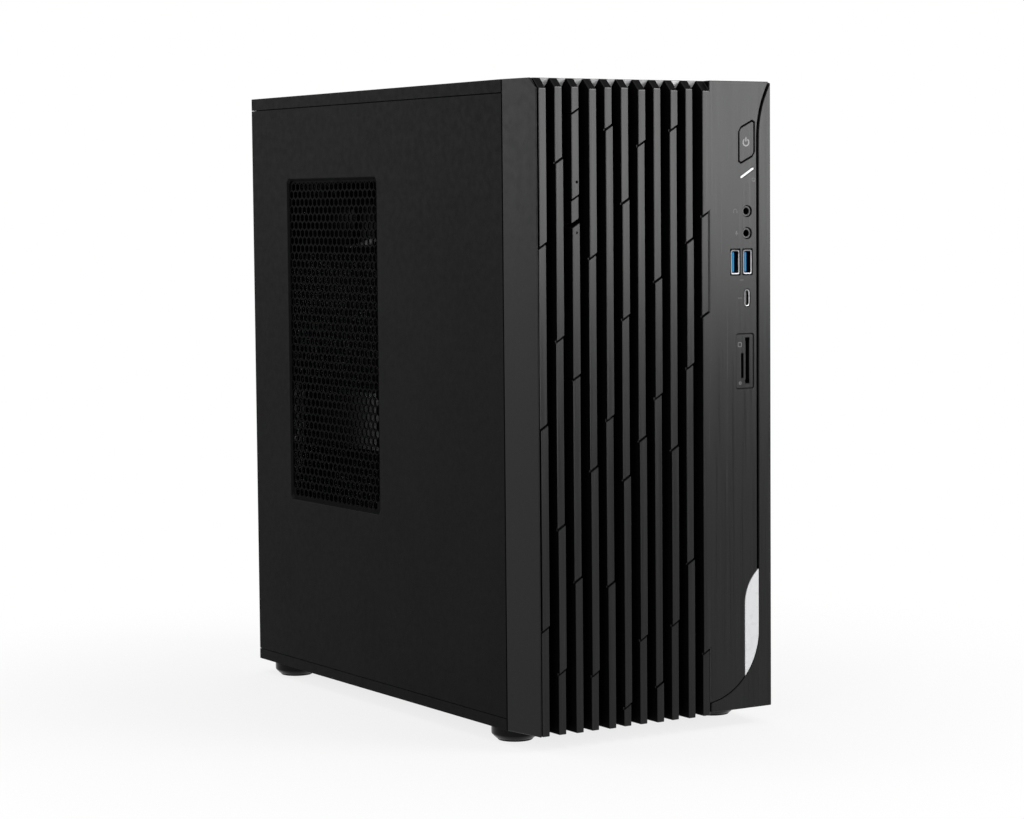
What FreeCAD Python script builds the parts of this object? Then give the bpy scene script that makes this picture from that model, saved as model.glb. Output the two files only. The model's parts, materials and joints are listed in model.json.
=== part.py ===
import FreeCAD, Part
import math
import os

# Desktop computer tower, millimetres.
# While a piece is drawn, X runs to the right seen from the front, Y runs back from the proud rib fronts
# and Z runs up from the underside of the body. save() then moves it to the finished frame, whose origin
# lies on the floor under the middle of the tower.

Vector = FreeCAD.Vector
os.makedirs("parts", exist_ok=True)

# ---- driving dimensions -------------------------------------------------------------------------------
CASE_WIDTH = 157.0
CASE_DEPTH = 309.0        # rib fronts to the rear edges of the side panels
CASE_HEIGHT = 338.0       # body without its feet
FOOT_HEIGHT = 8.0
FOOT_RADIUS = 12.7
FOOT_STRAIGHT = 4.6       # upright part of the foot's side
FOOT_DRAW = 2.0           # the foot draws in this much towards its pad
PAD_RADIUS = 9.4
FOOT_SIDES, PAD_SIDES = 16, 12
FOOT_INSET_SIDE = 14.0    # foot axis to the side of the body
FOOT_INSET_FRONT = 41.0
FOOT_INSET_REAR = 21.0
PAD_THICK = 1.0
SHEET = 0.8               # steel sheet
WALL = 2.5                # moulded plastic wall
THUMB_HEAD = 6.0          # how far the thumbscrew heads stand out at the rear

# clearances
SEAT_GAP = 0.3            # between fixed neighbours
SEAM_GAP = 0.6            # shadow line between the bezel and the steel panels
MOVE_GAP = 0.5            # around pieces that move
SCREW_GAP = 0.2           # radial, screw shank to plain hole
AXLE_GAP = 0.08           # radial, axle in its bore
BLADE_GAP = 1.2           # radial, blade tips to fan frame

# bezel
BEZEL_DEPTH = 26.5
BEZEL_SLANT = 4.2         # each side draws in this much towards the front
EDGE_SETBACK = 0.6        # front edge of the side wall behind the rib fronts
RIB_COUNT = 11
RIB_FIRST_LEFT = -73.0
RIB_PITCH = 10.25
RIB_WIDTH = 4.4
RIB_STEP = 0.9            # recessed rib lengths lie this far behind the proud ones
GROOVE_DEPTH = 11.0
PEAK_DEPTH = 5.7          # rib tops slope back to a ridge this far behind the rib fronts
CUT_ANGLE = 31.0          # slant of the cuts across the ribs
CUT_WIDTH = 0.7
CUT_DEPTH = 1.0
CUT_UNDER_PROUD = 0.35    # a cut below a proud length is this much wider, at its lower side
FLAT_BOTTOM = 1.5         # underside of the right corner above the rib ends
TOP_FLANGE = 9.6          # ribbed panel's top flange, front to back

# cuts across each rib, as heights at the rib's middle, and whether the rib starts proud at the top
RIB_CUTS = [
    (True, [253, 160, 56]), (False, [296, 205, 108, 33]), (False, [321, 277, 264, 185, 80]),
    (True, [247, 137, 30]), (False, [313, 163, 76]), (False, [275, 215, 131, 11]),
    (True, [305, 151, 46]), (False, [234, 173, 20]), (True, [313, 145, 52]),
    (False, [254, 188, 84]), (True, [268, 215, 35]),
]

# right corner strip and badge
CORNER_EDGE = 66.3        # straight inner edge of the corner strip
CORNER_GAP = 1.4          # wide shadow gap beside it
CORNER_GAP_FINE = 0.5     # gap along the lower curve
CORNER_TOP_RADIUS = 58.0
CORNER_TOP_START = 308.0
CORNER_LOW_RADIUS = 38.0
CORNER_LOW_START = 44.0
BADGE_LEFT = 56.7
BADGE_TIP = 77.0
BADGE_SHOULDER = 58.0
BADGE_THICK = 2.0
BADGE_GAP = 0.3

# front ports: centre X and height, then sizes
BUTTON_X, BUTTON_Z = 58.4, 306.0
BUTTON_WIDTH, BUTTON_HEIGHT, BUTTON_ANGLE = 9.4, 18.0, 26.0
BUTTON_TRAVEL = 1.0
BUTTON_CORNER = 1.2
LIGHT_X, LIGHT_Z, LIGHT_LENGTH, LIGHT_WIDTH, LIGHT_ANGLE = 58.7, 289.5, 10.0, 1.2, 31.0
JACK_X = 58.7
JACK_HEIGHTS = [269.2, 257.5]
JACK_RADIUS, JACK_BORE, JACK_DEPTH = 2.75, 1.75, 14.0
JACK_SINK = 0.9           # the jack's ring lies this far behind the strip's face
JACK_SIDES, JACK_BORE_SIDES = 20, 14
JACK_GAP = 0.25
USB_A_CENTRES = [50.8, 58.95]
USB_A_Z = 242.2
USB_A_WIDTH, USB_A_LENGTH, USB_A_DEPTH, USB_SHELL = 5.8, 13.2, 14.0, 0.4
USB_TONGUE = 2.0
USB_CORNER = 0.3          # bevel at the corners of each opening
USB_C_X, USB_C_Z, USB_C_WIDTH, USB_C_LENGTH, USB_C_DEPTH = 58.6, 223.0, 3.3, 9.0, 9.0
READER_X, READER_Z, READER_WIDTH, READER_HEIGHT, READER_DEPTH = 57.1, 189.2, 11.4, 29.0, 28.0
READER_SINK = 0.6
SD_X, SD_WIDTH, SD_HEIGHT = 59.0, 2.8, 24.6
MICRO_X, MICRO_Z, MICRO_WIDTH, MICRO_HEIGHT = 55.7, 186.8, 1.6, 13.2
PORT_BOARD_Y = 16.0
CAPSULE_STEPS = 6         # flat steps round each end of a slot

# optical drive, standing behind the third rib
DRIVE_RIB = 3
DOOR_UPPER_SINK = 1.0
DOOR_LOWER_SINK = 0.5
EJECT_SINK = 1.5
EJECT_TRAVEL = 0.8
EJECT_LOWER_GAP = 2.1
DOOR_HALF = 6.1
PINHOLE, PINHOLE_Z = 0.6, 285.0
LAMP_HOLE, LAMP_Z = 0.4, 259.0
DRIVE_THICK, DRIVE_TALL, DRIVE_DEEP = 12.7, 128.0, 126.0
DRIVE_MIDDLE_Z = 253.0
DISC_RADIUS = 60.5
DISC_SINK = 1.6
TRAY_TRAVEL = 125.0

# side panel and its vent, measured back from the rib fronts and up from the underside
BAND_HEIGHT = 6.0         # base band
TOP_BAND = 6.8
LEDGE = 7.0
PANEL_FLANGE = 7.0
REAR_FLANGE = 12.0
VENT_FRONT, VENT_REAR, VENT_LOW, VENT_HIGH = 158.0, 265.0, 101.0, 290.0
VENT_SINK = 1.0
VENT_SLOPE = 1.2
VENT_CORNER = 2.0         # cut-off corners of the sunken area
VENT_PITCH = 20.4
VENT_HOLE = 8.2           # centre to corner of each six-sided hole

# rear panel
REAR_GAP = 0.4            # side panel flange to rear panel
THUMB_HEIGHTS = [120.0, 328.0]
THUMB_INSET = 8.0
THUMB_RADIUS = 5.0
THUMB_SIDES = 12
SHANK_RADIUS = 1.75
SCREW_LENGTH = 6.0
SCREW_HEAD, SCREW_HEAD_HIGH = 3.4, 1.8
SCREW_SIDES = 6
REAR_FAN_SCREWS = 71.5    # between the screw axes of the rear fan
PSU_SCREW_INSET = 6.0

# motherboard and what it carries
TRAY_X = 67.5             # board side of the motherboard tray
STANDOFF = 6.35
BOARD_THICK = 1.6
BOARD_SIZE = 244.0
BOARD_BOTTOM = 89.0
SHIELD_LENGTH, SHIELD_WIDTH, SHIELD_TOP_GAP = 158.75, 44.45, 5.0
SLOT_PITCH, SLOT_COUNT = 20.32, 4
SLOT_WINDOW, SLOT_COVER, SLOT_REACH = 13.0, 18.4, 112.0

# power supply
PSU_WIDTH, PSU_HEIGHT, PSU_DEPTH, PSU_WALL = 125.0, 63.5, 100.0, 1.0
PSU_LIFT = 3.6            # power supply above the floor sheet
PSU_FAN_BORE = 42.0
INLET_X, INLET_Z = 38.0, 38.0
SWITCH_X = 8.0
ROCKER_PIN, ROCKER_PIN_GAP, ROCKER_PIN_HALF, ROCKER_PIN_DEPTH = 1.0, 0.15, 6.2, 4.0

HD_WIDTH, HD_LENGTH, HD_THICK = 101.6, 146.0, 26.1

# fans: frame size, frame depth, bore radius, hub radius
REAR_FAN = (80.0, 25.0, 37.5, 15.0)
COOLER_FAN = (92.0, 25.0, 43.0, 17.0)
CARD_FAN_RADIUS, CARD_FAN_HUB = 42.0, 15.0
AXLE_RADIUS = 2.0

# ---- derived places -----------------------------------------------------------------------------------
HALF = CASE_WIDTH / 2
BACK = CASE_DEPTH
TOP = CASE_HEIGHT
SEAM = BEZEL_DEPTH
STEEL_FRONT = SEAM + SEAM_GAP
FRONT_HALF = HALF - BEZEL_SLANT
RIB_LAST_RIGHT = RIB_FIRST_LEFT + (RIB_COUNT - 1) * RIB_PITCH + RIB_WIDTH
REAR_OUTER = BACK - SHEET - REAR_GAP
REAR_INNER = REAR_OUTER - SHEET
WALL_FRONT = SEAM + 2.4
WALL_BACK = WALL_FRONT + SHEET
PANEL_LOW = BAND_HEIGHT + SEAT_GAP
PANEL_HIGH = TOP - TOP_BAND - SEAT_GAP
SHIFT = Vector(0, -(CASE_DEPTH + THUMB_HEAD) / 2, FOOT_HEIGHT)
DRIVE_X = RIB_FIRST_LEFT + (DRIVE_RIB - 1) * RIB_PITCH + RIB_WIDTH / 2
DOOR_BACK = GROOVE_DEPTH + 2.0
BOARD_BACK = TRAY_X - STANDOFF
BOARD_FACE = BOARD_BACK - BOARD_THICK
BOARD_REAR = REAR_INNER - 0.5
BOARD_FRONT = BOARD_REAR - BOARD_SIZE
BOARD_TOP = BOARD_BOTTOM + BOARD_SIZE
SHIELD_HIGH = BOARD_TOP - SHIELD_TOP_GAP
SHIELD_LOW = SHIELD_HIGH - SHIELD_LENGTH
SHIELD_RIGHT = BOARD_BACK + 0.5
SHIELD_LEFT = SHIELD_RIGHT - SHIELD_WIDTH
SLOT_HEIGHTS = [SHIELD_LOW - SLOT_PITCH * (i + 0.5) for i in range(SLOT_COUNT)]


# ---- small helpers ------------------------------------------------------------------------------------
def block(x, y, z):
    """Box between the two values given for each axis."""
    return Part.makeBox(x[1] - x[0], y[1] - y[0], z[1] - z[0], Vector(x[0], y[0], z[0]))


def rod(radius, start, direction, length):
    return Part.makeCylinder(radius, length, Vector(*start), Vector(*direction))


def ring_of_corners(radius, height, sides):
    """Closed many-sided outline round the Z axis."""
    corners = [Vector(radius * math.cos(2 * math.pi * k / sides),
                      radius * math.sin(2 * math.pi * k / sides), height)
               for k in range(sides)]
    return Part.makePolygon(corners + corners[:1])


def drum(radius, start, direction, length, sides=24):
    """Round piece of many flat sides."""
    return aim(extrude(ring_of_corners(radius, 0, sides), Vector(0, 0, length)), direction, start)


def stacked(profile, sides):
    """Many-sided turned piece: each pair of radius, height points is one drum or cone up the Z axis."""
    layers = []
    for (low_radius, low), (high_radius, high) in zip(profile, profile[1:]):
        if high > low:
            outlines = [ring_of_corners(low_radius, low, sides), ring_of_corners(high_radius, high, sides)]
            layers.append(Part.makeLoft(outlines, True, True))
    return join(layers)


def extrude(wire, along):
    return Part.Face(wire).extrude(along)


def prism_y(points, y):
    """Outline of X, Z points drawn out between two Y values."""
    corners = [Vector(px, y[0], pz) for px, pz in points]
    return extrude(Part.makePolygon(corners + corners[:1]), Vector(0, y[1] - y[0], 0))


def prism_z(points, z):
    corners = [Vector(px, py, z[0]) for px, py in points]
    return extrude(Part.makePolygon(corners + corners[:1]), Vector(0, 0, z[1] - z[0]))


def prism_x(points, x):
    corners = [Vector(x[0], py, pz) for py, pz in points]
    return extrude(Part.makePolygon(corners + corners[:1]), Vector(x[1] - x[0], 0, 0))


def join(shapes):
    first = shapes[0]
    if len(shapes) > 1:
        first = first.fuse(shapes[1:])
    return first.removeSplitter()


def slanted(x, z, angle, y):
    """Block between two X values whose lower and upper ends rise to the right; z is at its middle."""
    rise = math.tan(math.radians(angle)) * (x[1] - x[0]) / 2
    return prism_y([(x[0], z[0] - rise), (x[1], z[0] + rise), (x[1], z[1] + rise), (x[0], z[1] - rise)], y)


def ease_along_y(solid, size):
    """Bevels the corner edges that run along Y."""
    edges = [e for e in solid.Edges if abs(e.tangentAt(e.FirstParameter).y) > 0.99]
    return solid.makeChamfer(size, edges)


def capsule(centre, length, width, angle, y):
    """Slot shape with round ends in the XZ plane, its long side at the angle from +X."""
    r = width / 2
    h = length / 2 - r
    steps = [math.pi * (k / CAPSULE_STEPS - 0.5) for k in range(CAPSULE_STEPS + 1)]
    corners = [Vector(h + r * math.cos(a), 0, r * math.sin(a)) for a in steps]
    corners += [Vector(-h - r * math.cos(a), 0, -r * math.sin(a)) for a in steps]
    solid = extrude(Part.makePolygon(corners + corners[:1]), Vector(0, y[1] - y[0], 0))
    solid.rotate(Vector(0, 0, 0), Vector(0, 1, 0), -angle)
    solid.translate(Vector(centre[0], y[0], centre[1]))
    return solid


def aim(solid, direction, origin):
    """Turns a piece drawn along +Z to the direction and moves it to the origin."""
    placed = solid.copy()
    turn = FreeCAD.Rotation(Vector(0, 0, 1), Vector(*direction))
    placed.Placement = FreeCAD.Placement(Vector(*origin), turn)
    return placed


def rib_x(number):
    left = RIB_FIRST_LEFT + (number - 1) * RIB_PITCH
    return (left, left + RIB_WIDTH)


def save(name, shape):
    """Writes one sub-part in the finished frame; a group keeps its separate solids."""
    moved = shape.copy()
    moved.translate(SHIFT)
    solids = moved.Solids
    result = solids[0] if len(solids) == 1 else Part.makeCompound(solids)
    result.exportStep("parts/" + name + ".step")
    print(name, len(solids), "solid(s)")


# ---- outlines shared by the ribbed panel, the corner strip and the badge ---------------------------------
def corner_curve(offset, low_offset):
    """Edges of the corner strip's inner line from low left to top, moved left by the offsets."""
    low_centre = Vector(CORNER_EDGE - CORNER_LOW_RADIUS, 0, CORNER_LOW_START)
    low_r = CORNER_LOW_RADIUS - low_offset
    high_centre = Vector(CORNER_EDGE + CORNER_TOP_RADIUS, 0, CORNER_TOP_START)
    high_r = CORNER_TOP_RADIUS + offset
    start_x = RIB_LAST_RIGHT + SEAT_GAP
    start_angle = math.asin((start_x - low_centre.x) / low_r)
    middle_angle = (start_angle + math.pi / 2) / 2
    low = [low_centre + Vector(low_r * math.sin(a), 0, -low_r * math.cos(a))
           for a in (start_angle, middle_angle, math.pi / 2)]
    end_angle = math.asin((TOP + 2 - CORNER_TOP_START) / high_r)
    high = [high_centre + Vector(-high_r * math.cos(a), 0, high_r * math.sin(a))
            for a in (0, end_angle / 2, end_angle)]
    edges = [Part.Arc(*low).toShape()]
    if abs(low[2].x - high[0].x) > 0.01:
        step = Vector(low[2].x, 0, (BADGE_TIP + CORNER_LOW_START) / 2)
        over = Vector(high[0].x, 0, step.z)
        edges.append(Part.makeLine(low[2], step))
        edges.append(Part.makeLine(step, over))
        edges.append(Part.makeLine(over, high[0]))
    else:
        edges.append(Part.makeLine(low[2], high[0]))
    edges.append(Part.Arc(*high).toShape())
    return edges, low[0], high[2]


def area_left_of_curve(left, offset, low_offset, y):
    """Plate between an upright line and the corner curve."""
    edges, low_end, high_end = corner_curve(offset, low_offset)
    low_corner = Vector(left, 0, low_end.z)
    high_corner = Vector(left, 0, high_end.z)
    wire = Part.Wire([Part.makeLine(low_corner, low_end)] + edges
                     + [Part.makeLine(high_end, high_corner), Part.makeLine(high_corner, low_corner)])
    plate = extrude(wire, Vector(0, y[1] - y[0], 0))
    plate.translate(Vector(0, y[0], 0))
    return plate


def leaf(grow, y):
    """Badge outline: an upright left side, a round shoulder, and the corner curve on its right."""
    across = CORNER_EDGE - BADGE_LEFT
    radius = (across ** 2 + (BADGE_TIP - BADGE_SHOULDER) ** 2) / (2 * across)
    shoulder = rod(radius + grow, (BADGE_LEFT + radius, y[0], BADGE_SHOULDER), (0, 1, 0), y[1] - y[0])
    side = block((BADGE_LEFT - grow, BADGE_LEFT + radius), y, (0, BADGE_SHOULDER))
    right = area_left_of_curve(BADGE_LEFT - grow - 1, BADGE_GAP - grow, BADGE_GAP - grow, y)
    edge = block((BADGE_LEFT - grow - 2, CORNER_EDGE - BADGE_GAP + grow), y, (0, BADGE_TIP + grow))
    return shoulder.fuse(side).common(right).common(edge).removeSplitter()


# ---- bezel --------------------------------------------------------------------------------------------
def top_slope():
    """Wedge that slopes the tops of the ribs and of the left wall back to the ridge."""
    reach = PEAK_DEPTH + 2
    return prism_x([(-2, TOP - reach), (PEAK_DEPTH + 1, TOP + 1), (-2, TOP + 1)],
                   (-HALF - 1, RIB_LAST_RIGHT))


def clip_places_level():
    return [(x, z) for x in (-20, 30) for z in (FLAT_BOTTOM + WALL - 0.5, TOP - WALL - 0.5)]


def clip_places_upright():
    return [(s * (HALF - PANEL_FLANGE - 3.5), z) for s in (-1, 1) for z in (60, 150, 322)]


def make_front_bezel():
    """Outer moulding: left wall, right wall with the corner strip, and the ledges behind the ribs."""
    slot_edge = RIB_FIRST_LEFT - 0.9
    left = prism_z([(-HALF, SEAM), (-FRONT_HALF, EDGE_SETBACK), (slot_edge, EDGE_SETBACK),
                    (slot_edge, GROOVE_DEPTH + WALL), (-HALF + WALL + 0.5, SEAM)], (0, TOP))
    left = left.cut(top_slope())
    right = prism_z([(FRONT_HALF, 0), (HALF, SEAM), (HALF - WALL, SEAM), (FRONT_HALF - WALL, WALL),
                     (FRONT_HALF - WALL, 0)], (FLAT_BOTTOM, TOP))
    strip = block((RIB_LAST_RIGHT + SEAT_GAP, FRONT_HALF), (0, WALL), (FLAT_BOTTOM, TOP))
    corner = strip.cut(area_left_of_curve(RIB_LAST_RIGHT - 5, 0, 0, (-1, WALL + 1)))
    wall_cut = area_left_of_curve(RIB_LAST_RIGHT, 0, 0, (-1, WALL + SEAT_GAP))
    flange_room = block((-HALF, RIB_LAST_RIGHT + 60), (-1, TOP_FLANGE + SEAT_GAP),
                        (TOP - WALL - SEAT_GAP, TOP + 1))
    flange_room = flange_room.common(area_left_of_curve(-HALF, 0, 0, (-1, TOP_FLANGE + SEAT_GAP)))
    right = right.cut([wall_cut, flange_room])
    ledge_front = TOP_FLANGE + SEAT_GAP
    narrow = FRONT_HALF - 1.0 + BEZEL_SLANT * ledge_front / SEAM
    ledge = prism_z([(-narrow, ledge_front), (narrow, ledge_front), (HALF - 1, SEAM), (-HALF + 1, SEAM)],
                    (TOP - WALL, TOP))
    floor = prism_z([(-narrow, GROOVE_DEPTH + WALL + SEAT_GAP), (narrow, GROOVE_DEPTH + WALL + SEAT_GAP),
                     (HALF - 1, SEAM), (-HALF + 1, SEAM)], (FLAT_BOTTOM, FLAT_BOTTOM + WALL))
    clips = [block((x - 4, x + 4), (SEAM - 6, WALL_BACK + 2), (z - 1, z + 1))
             for x, z in clip_places_level()]
    for x, z in clip_places_upright():
        arm = sorted((x - math.copysign(1, x), math.copysign(HALF - WALL, x)))
        clips.append(block(arm, (SEAM - 6, SEAM - 3.5), (z - 4, z + 4)))
        clips.append(block((x - 1, x + 1), (SEAM - 6, WALL_BACK + 2), (z - 4, z + 4)))
    return join([left, right, corner, ledge, floor] + clips)


def rib_solid(number):
    """One rib: a core at the recessed level, proud plates on it, and a fine slot at each cut."""
    starts_proud, heights = RIB_CUTS[number - 1]
    x = rib_x(number)
    core = block(x, (RIB_STEP, GROOVE_DEPTH), (0, TOP))
    levels = [TOP + 10] + heights + [-10]
    plates = []
    proud = starts_proud
    for high, low in zip(levels, levels[1:]):
        if proud:
            plates.append(slanted(x, (low, high), CUT_ANGLE,
                                  (0, RIB_STEP)).common(block(x, (0, RIB_STEP), (0, TOP))))
        proud = not proud
    slots = []
    for index, z in enumerate(heights):
        under_proud = starts_proud == (index % 2 == 0)
        low = z - CUT_WIDTH / 2 - (CUT_UNDER_PROUD if under_proud else 0)
        slots.append(slanted((x[0] - 0.1, x[1] + 0.1), (low, z + CUT_WIDTH / 2), CUT_ANGLE,
                             (-1, RIB_STEP + CUT_DEPTH)))
    return join([core] + plates).cut(slots)


def door_zone(y):
    """Length of the third rib that belongs to the disc tray, with its two slanted ends."""
    heights = RIB_CUTS[DRIVE_RIB - 1][1]
    x = rib_x(DRIVE_RIB)
    return slanted((x[0] - 0.2, x[1] + 0.2), (heights[3] - CUT_WIDTH / 2, heights[0] + CUT_WIDTH / 2),
                   CUT_ANGLE, y)


def door_window():
    heights = RIB_CUTS[DRIVE_RIB - 1][1]
    return (heights[3] + 1.8, heights[0] - 1.8)


def button_block(grow, y):
    x = (BUTTON_X - BUTTON_WIDTH / 2 - grow, BUTTON_X + BUTTON_WIDTH / 2 + grow)
    z = (BUTTON_Z - BUTTON_HEIGHT / 2 - grow, BUTTON_Z + BUTTON_HEIGHT / 2 + grow)
    return ease_along_y(slanted(x, z, BUTTON_ANGLE, y), BUTTON_CORNER + grow)


def port_holes():
    """Every opening in the smooth strip to the right of the ribs."""
    y = (-1, WALL + 1)
    holes = [button_block(0.75, y), capsule((LIGHT_X, LIGHT_Z), LIGHT_LENGTH + 0.2, LIGHT_WIDTH + 0.2,
                                            LIGHT_ANGLE, y)]
    holes += [drum(JACK_RADIUS + JACK_GAP, (JACK_X, y[0], z), (0, 1, 0), y[1] - y[0], JACK_SIDES)
              for z in JACK_HEIGHTS]
    for x in USB_A_CENTRES:
        opening = block((x - USB_A_WIDTH / 2 - 0.35, x + USB_A_WIDTH / 2 + 0.35), y,
                        (USB_A_Z - USB_A_LENGTH / 2 - 0.35, USB_A_Z + USB_A_LENGTH / 2 + 0.35))
        holes.append(ease_along_y(opening, USB_CORNER))
    holes.append(capsule((USB_C_X, USB_C_Z), USB_C_LENGTH + 0.6, USB_C_WIDTH + 0.6, 90, y))
    reader = block((READER_X - READER_WIDTH / 2 - 0.2, READER_X + READER_WIDTH / 2 + 0.2), y,
                   (READER_Z - READER_HEIGHT / 2 - 0.2, READER_Z + READER_HEIGHT / 2 + 0.2))
    holes.append(ease_along_y(reader, 0.8))
    return holes


def make_rib_panel():
    """Ribs, the floor between them, the ramps under the ridge, and the smooth port strip."""
    span = (RIB_FIRST_LEFT, RIB_LAST_RIGHT)
    floor = block(span, (GROOVE_DEPTH, GROOVE_DEPTH + WALL), (0, TOP))
    ramp = prism_x([(PEAK_DEPTH, TOP), (GROOVE_DEPTH, TOP - (GROOVE_DEPTH - PEAK_DEPTH)),
                    (GROOVE_DEPTH + WALL, TOP - (GROOVE_DEPTH - PEAK_DEPTH)), (GROOVE_DEPTH + WALL,
                                                                               TOP - WALL - 1),
                    (TOP_FLANGE, TOP - WALL - 1), (TOP_FLANGE, TOP)], span)
    ledge_room = block((-HALF, HALF), (TOP_FLANGE, SEAM), (TOP - WALL - SEAT_GAP, TOP + 1))
    ribs = [rib_solid(n) for n in range(1, RIB_COUNT + 1)]
    strip = area_left_of_curve(RIB_LAST_RIGHT, CORNER_GAP, CORNER_GAP_FINE, (0, WALL))
    strip = strip.common(block((0, HALF), (0, WALL), (0, TOP)))
    flange = area_left_of_curve(RIB_LAST_RIGHT, CORNER_GAP, CORNER_GAP_FINE, (0, TOP_FLANGE))
    flange = flange.common(block((0, HALF), (WALL - 0.5, TOP_FLANGE), (TOP - WALL, TOP)))
    side = block((RIB_LAST_RIGHT, RIB_LAST_RIGHT + 1.2), (0.5, GROOVE_DEPTH + WALL), (10, TOP))
    side = side.cut(block((-HALF, HALF), (TOP_FLANGE, SEAM), (TOP - WALL, TOP + 1)))
    ribbed = join([floor, ramp] + ribs).cut([top_slope(), ledge_room])
    low, high = door_window()
    window = block((DRIVE_X - DOOR_HALF - MOVE_GAP, DRIVE_X + DOOR_HALF + MOVE_GAP),
                   (GROOVE_DEPTH - 0.01, GROOVE_DEPTH + WALL + 1), (low, high))
    ribbed = ribbed.cut([door_zone((-1, GROOVE_DEPTH + 0.5)), window])
    smooth = join([strip, flange, side]).cut([leaf(BADGE_GAP, (-1, WALL + 1))] + port_holes())
    bevel = prism_x([(-1, TOP - 0.6), (0.6, TOP + 1), (-1, TOP + 1)], (RIB_LAST_RIGHT, HALF))
    backing = block((BADGE_LEFT - 4, CORNER_EDGE + 4), (BADGE_THICK + SEAT_GAP, WALL + 1.2),
                    (12, BADGE_TIP + 4))
    backing = backing.common(area_left_of_curve(0, 0.2, CORNER_GAP_FINE, (0, 10)))
    return join([ribbed, smooth.cut(bevel), backing.fuse(block((BADGE_LEFT - 6, BADGE_LEFT - 1),
                (WALL - 0.5, WALL + 1.2), (24, BADGE_SHOULDER)))])


def make_badge():
    return leaf(0, (0.1, BADGE_THICK))


# ---- front controls and ports -----------------------------------------------------------------------------
def make_power_button():
    cap = button_block(0, (0.1, WALL + SEAT_GAP + 0.5))
    flange = slanted((BUTTON_X - BUTTON_WIDTH / 2 - 1.5, BUTTON_X + BUTTON_WIDTH / 2 + 1.5),
                     (BUTTON_Z - BUTTON_HEIGHT / 2 - 1.8, BUTTON_Z + BUTTON_HEIGHT / 2 + 1.8), BUTTON_ANGLE,
                     (WALL + SEAT_GAP, WALL + SEAT_GAP + 1.2))
    stem = block((BUTTON_X - 1.5, BUTTON_X + 1.5), (WALL + SEAT_GAP, 9.5), (BUTTON_Z - 1.5, BUTTON_Z + 1.5))
    return join([cap, flange, stem])


def make_power_switch():
    body = block((BUTTON_X - 3, BUTTON_X + 3), (12.0, PORT_BOARD_Y), (BUTTON_Z - 3, BUTTON_Z + 3))
    plunger = block((BUTTON_X - 1.2, BUTTON_X + 1.2), (9.5 + BUTTON_TRAVEL + 0.3, 12.5),
                    (BUTTON_Z - 1.2, BUTTON_Z + 1.2))
    return join([body, plunger])


def make_light_bar():
    face = capsule((LIGHT_X, LIGHT_Z), LIGHT_LENGTH, LIGHT_WIDTH, LIGHT_ANGLE, (0.05, 8))
    pipe = block((LIGHT_X - 2, LIGHT_X + 2), (7.0, PORT_BOARD_Y), (LIGHT_Z - 2, LIGHT_Z + 2))
    return join([face, pipe])


def make_jack(height):
    ring = drum(JACK_RADIUS, (JACK_X, JACK_SINK, height), (0, 1, 0), 5.0 - JACK_SINK, JACK_SIDES)
    body = block((JACK_X - 4.5, JACK_X + 3.6), (5.0, PORT_BOARD_Y), (height - 4.6, height + 4.6))
    return join([ring, body]).cut(drum(JACK_BORE, (JACK_X, 0, height), (0, 1, 0), JACK_DEPTH,
                                       JACK_BORE_SIDES))


def make_usb_shell(x):
    y = (0.2, USB_A_DEPTH)
    outer = block((x - USB_A_WIDTH / 2, x + USB_A_WIDTH / 2), y,
                  (USB_A_Z - USB_A_LENGTH / 2, USB_A_Z + USB_A_LENGTH / 2))
    inner = block((x - USB_A_WIDTH / 2 + USB_SHELL, x + USB_A_WIDTH / 2 - USB_SHELL), (0, USB_A_DEPTH - 1),
                  (USB_A_Z - USB_A_LENGTH / 2 + USB_SHELL, USB_A_Z + USB_A_LENGTH / 2 - USB_SHELL))
    return outer.cut(inner)


def make_usb_tongue(x):
    left = x - USB_A_WIDTH / 2 + USB_SHELL + 0.25
    return block((left, left + USB_TONGUE), (1.0, USB_A_DEPTH - 1),
                 (USB_A_Z - USB_A_LENGTH / 2 + USB_SHELL + 0.6,
                  USB_A_Z + USB_A_LENGTH / 2 - USB_SHELL - 0.6))


def make_usb_c():
    outer = capsule((USB_C_X, USB_C_Z), USB_C_LENGTH, USB_C_WIDTH, 90, (0.2, USB_C_DEPTH))
    inner = capsule((USB_C_X, USB_C_Z), USB_C_LENGTH - 0.8, USB_C_WIDTH - 0.8, 90, (0, USB_C_DEPTH - 0.6))
    tongue = block((USB_C_X - 0.35, USB_C_X + 0.35), (1.2, USB_C_DEPTH - 0.6),
                   (USB_C_Z - 3.2, USB_C_Z + 3.2))
    return outer.cut(inner), tongue


def make_card_reader():
    """Sunken face with an SD slot and a small card slot, and the housing behind it."""
    y = (READER_SINK, READER_DEPTH)
    z = (READER_Z - READER_HEIGHT / 2, READER_Z + READER_HEIGHT / 2)
    face = ease_along_y(block((READER_X - READER_WIDTH / 2, READER_X + READER_WIDTH / 2), y, z), 0.7)
    sd_z = (READER_Z - SD_HEIGHT / 2 + 0.3, READER_Z + SD_HEIGHT / 2 + 0.3)
    slots = [block((SD_X - SD_WIDTH / 2 + 0.3, SD_X + SD_WIDTH / 2 - 0.1), (0, READER_DEPTH - 2), sd_z),
             block((SD_X - SD_WIDTH / 2, SD_X + SD_WIDTH / 2), (0, READER_DEPTH - 2),
                   (sd_z[0], sd_z[0] + 2.4)),
             block((SD_X - SD_WIDTH / 2, SD_X + SD_WIDTH / 2), (0, READER_DEPTH - 2),
                   (sd_z[1] - 1.8, sd_z[1])),
             block((MICRO_X - MICRO_WIDTH / 2, MICRO_X + MICRO_WIDTH / 2), (0, 15),
                   (MICRO_Z - MICRO_HEIGHT / 2, MICRO_Z + MICRO_HEIGHT / 2))]
    return face.cut(slots)


def make_port_board():
    """Board that carries the front sockets, with pins that reach it left plain."""
    board = block((45.0, 64.5), (PORT_BOARD_Y, PORT_BOARD_Y + 1.6), (205.0, 313.0))
    header = block((47.0, 55.0), (PORT_BOARD_Y + 1.6, PORT_BOARD_Y + 9.0), (275.0, 300.0))
    return join([board, header])


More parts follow.
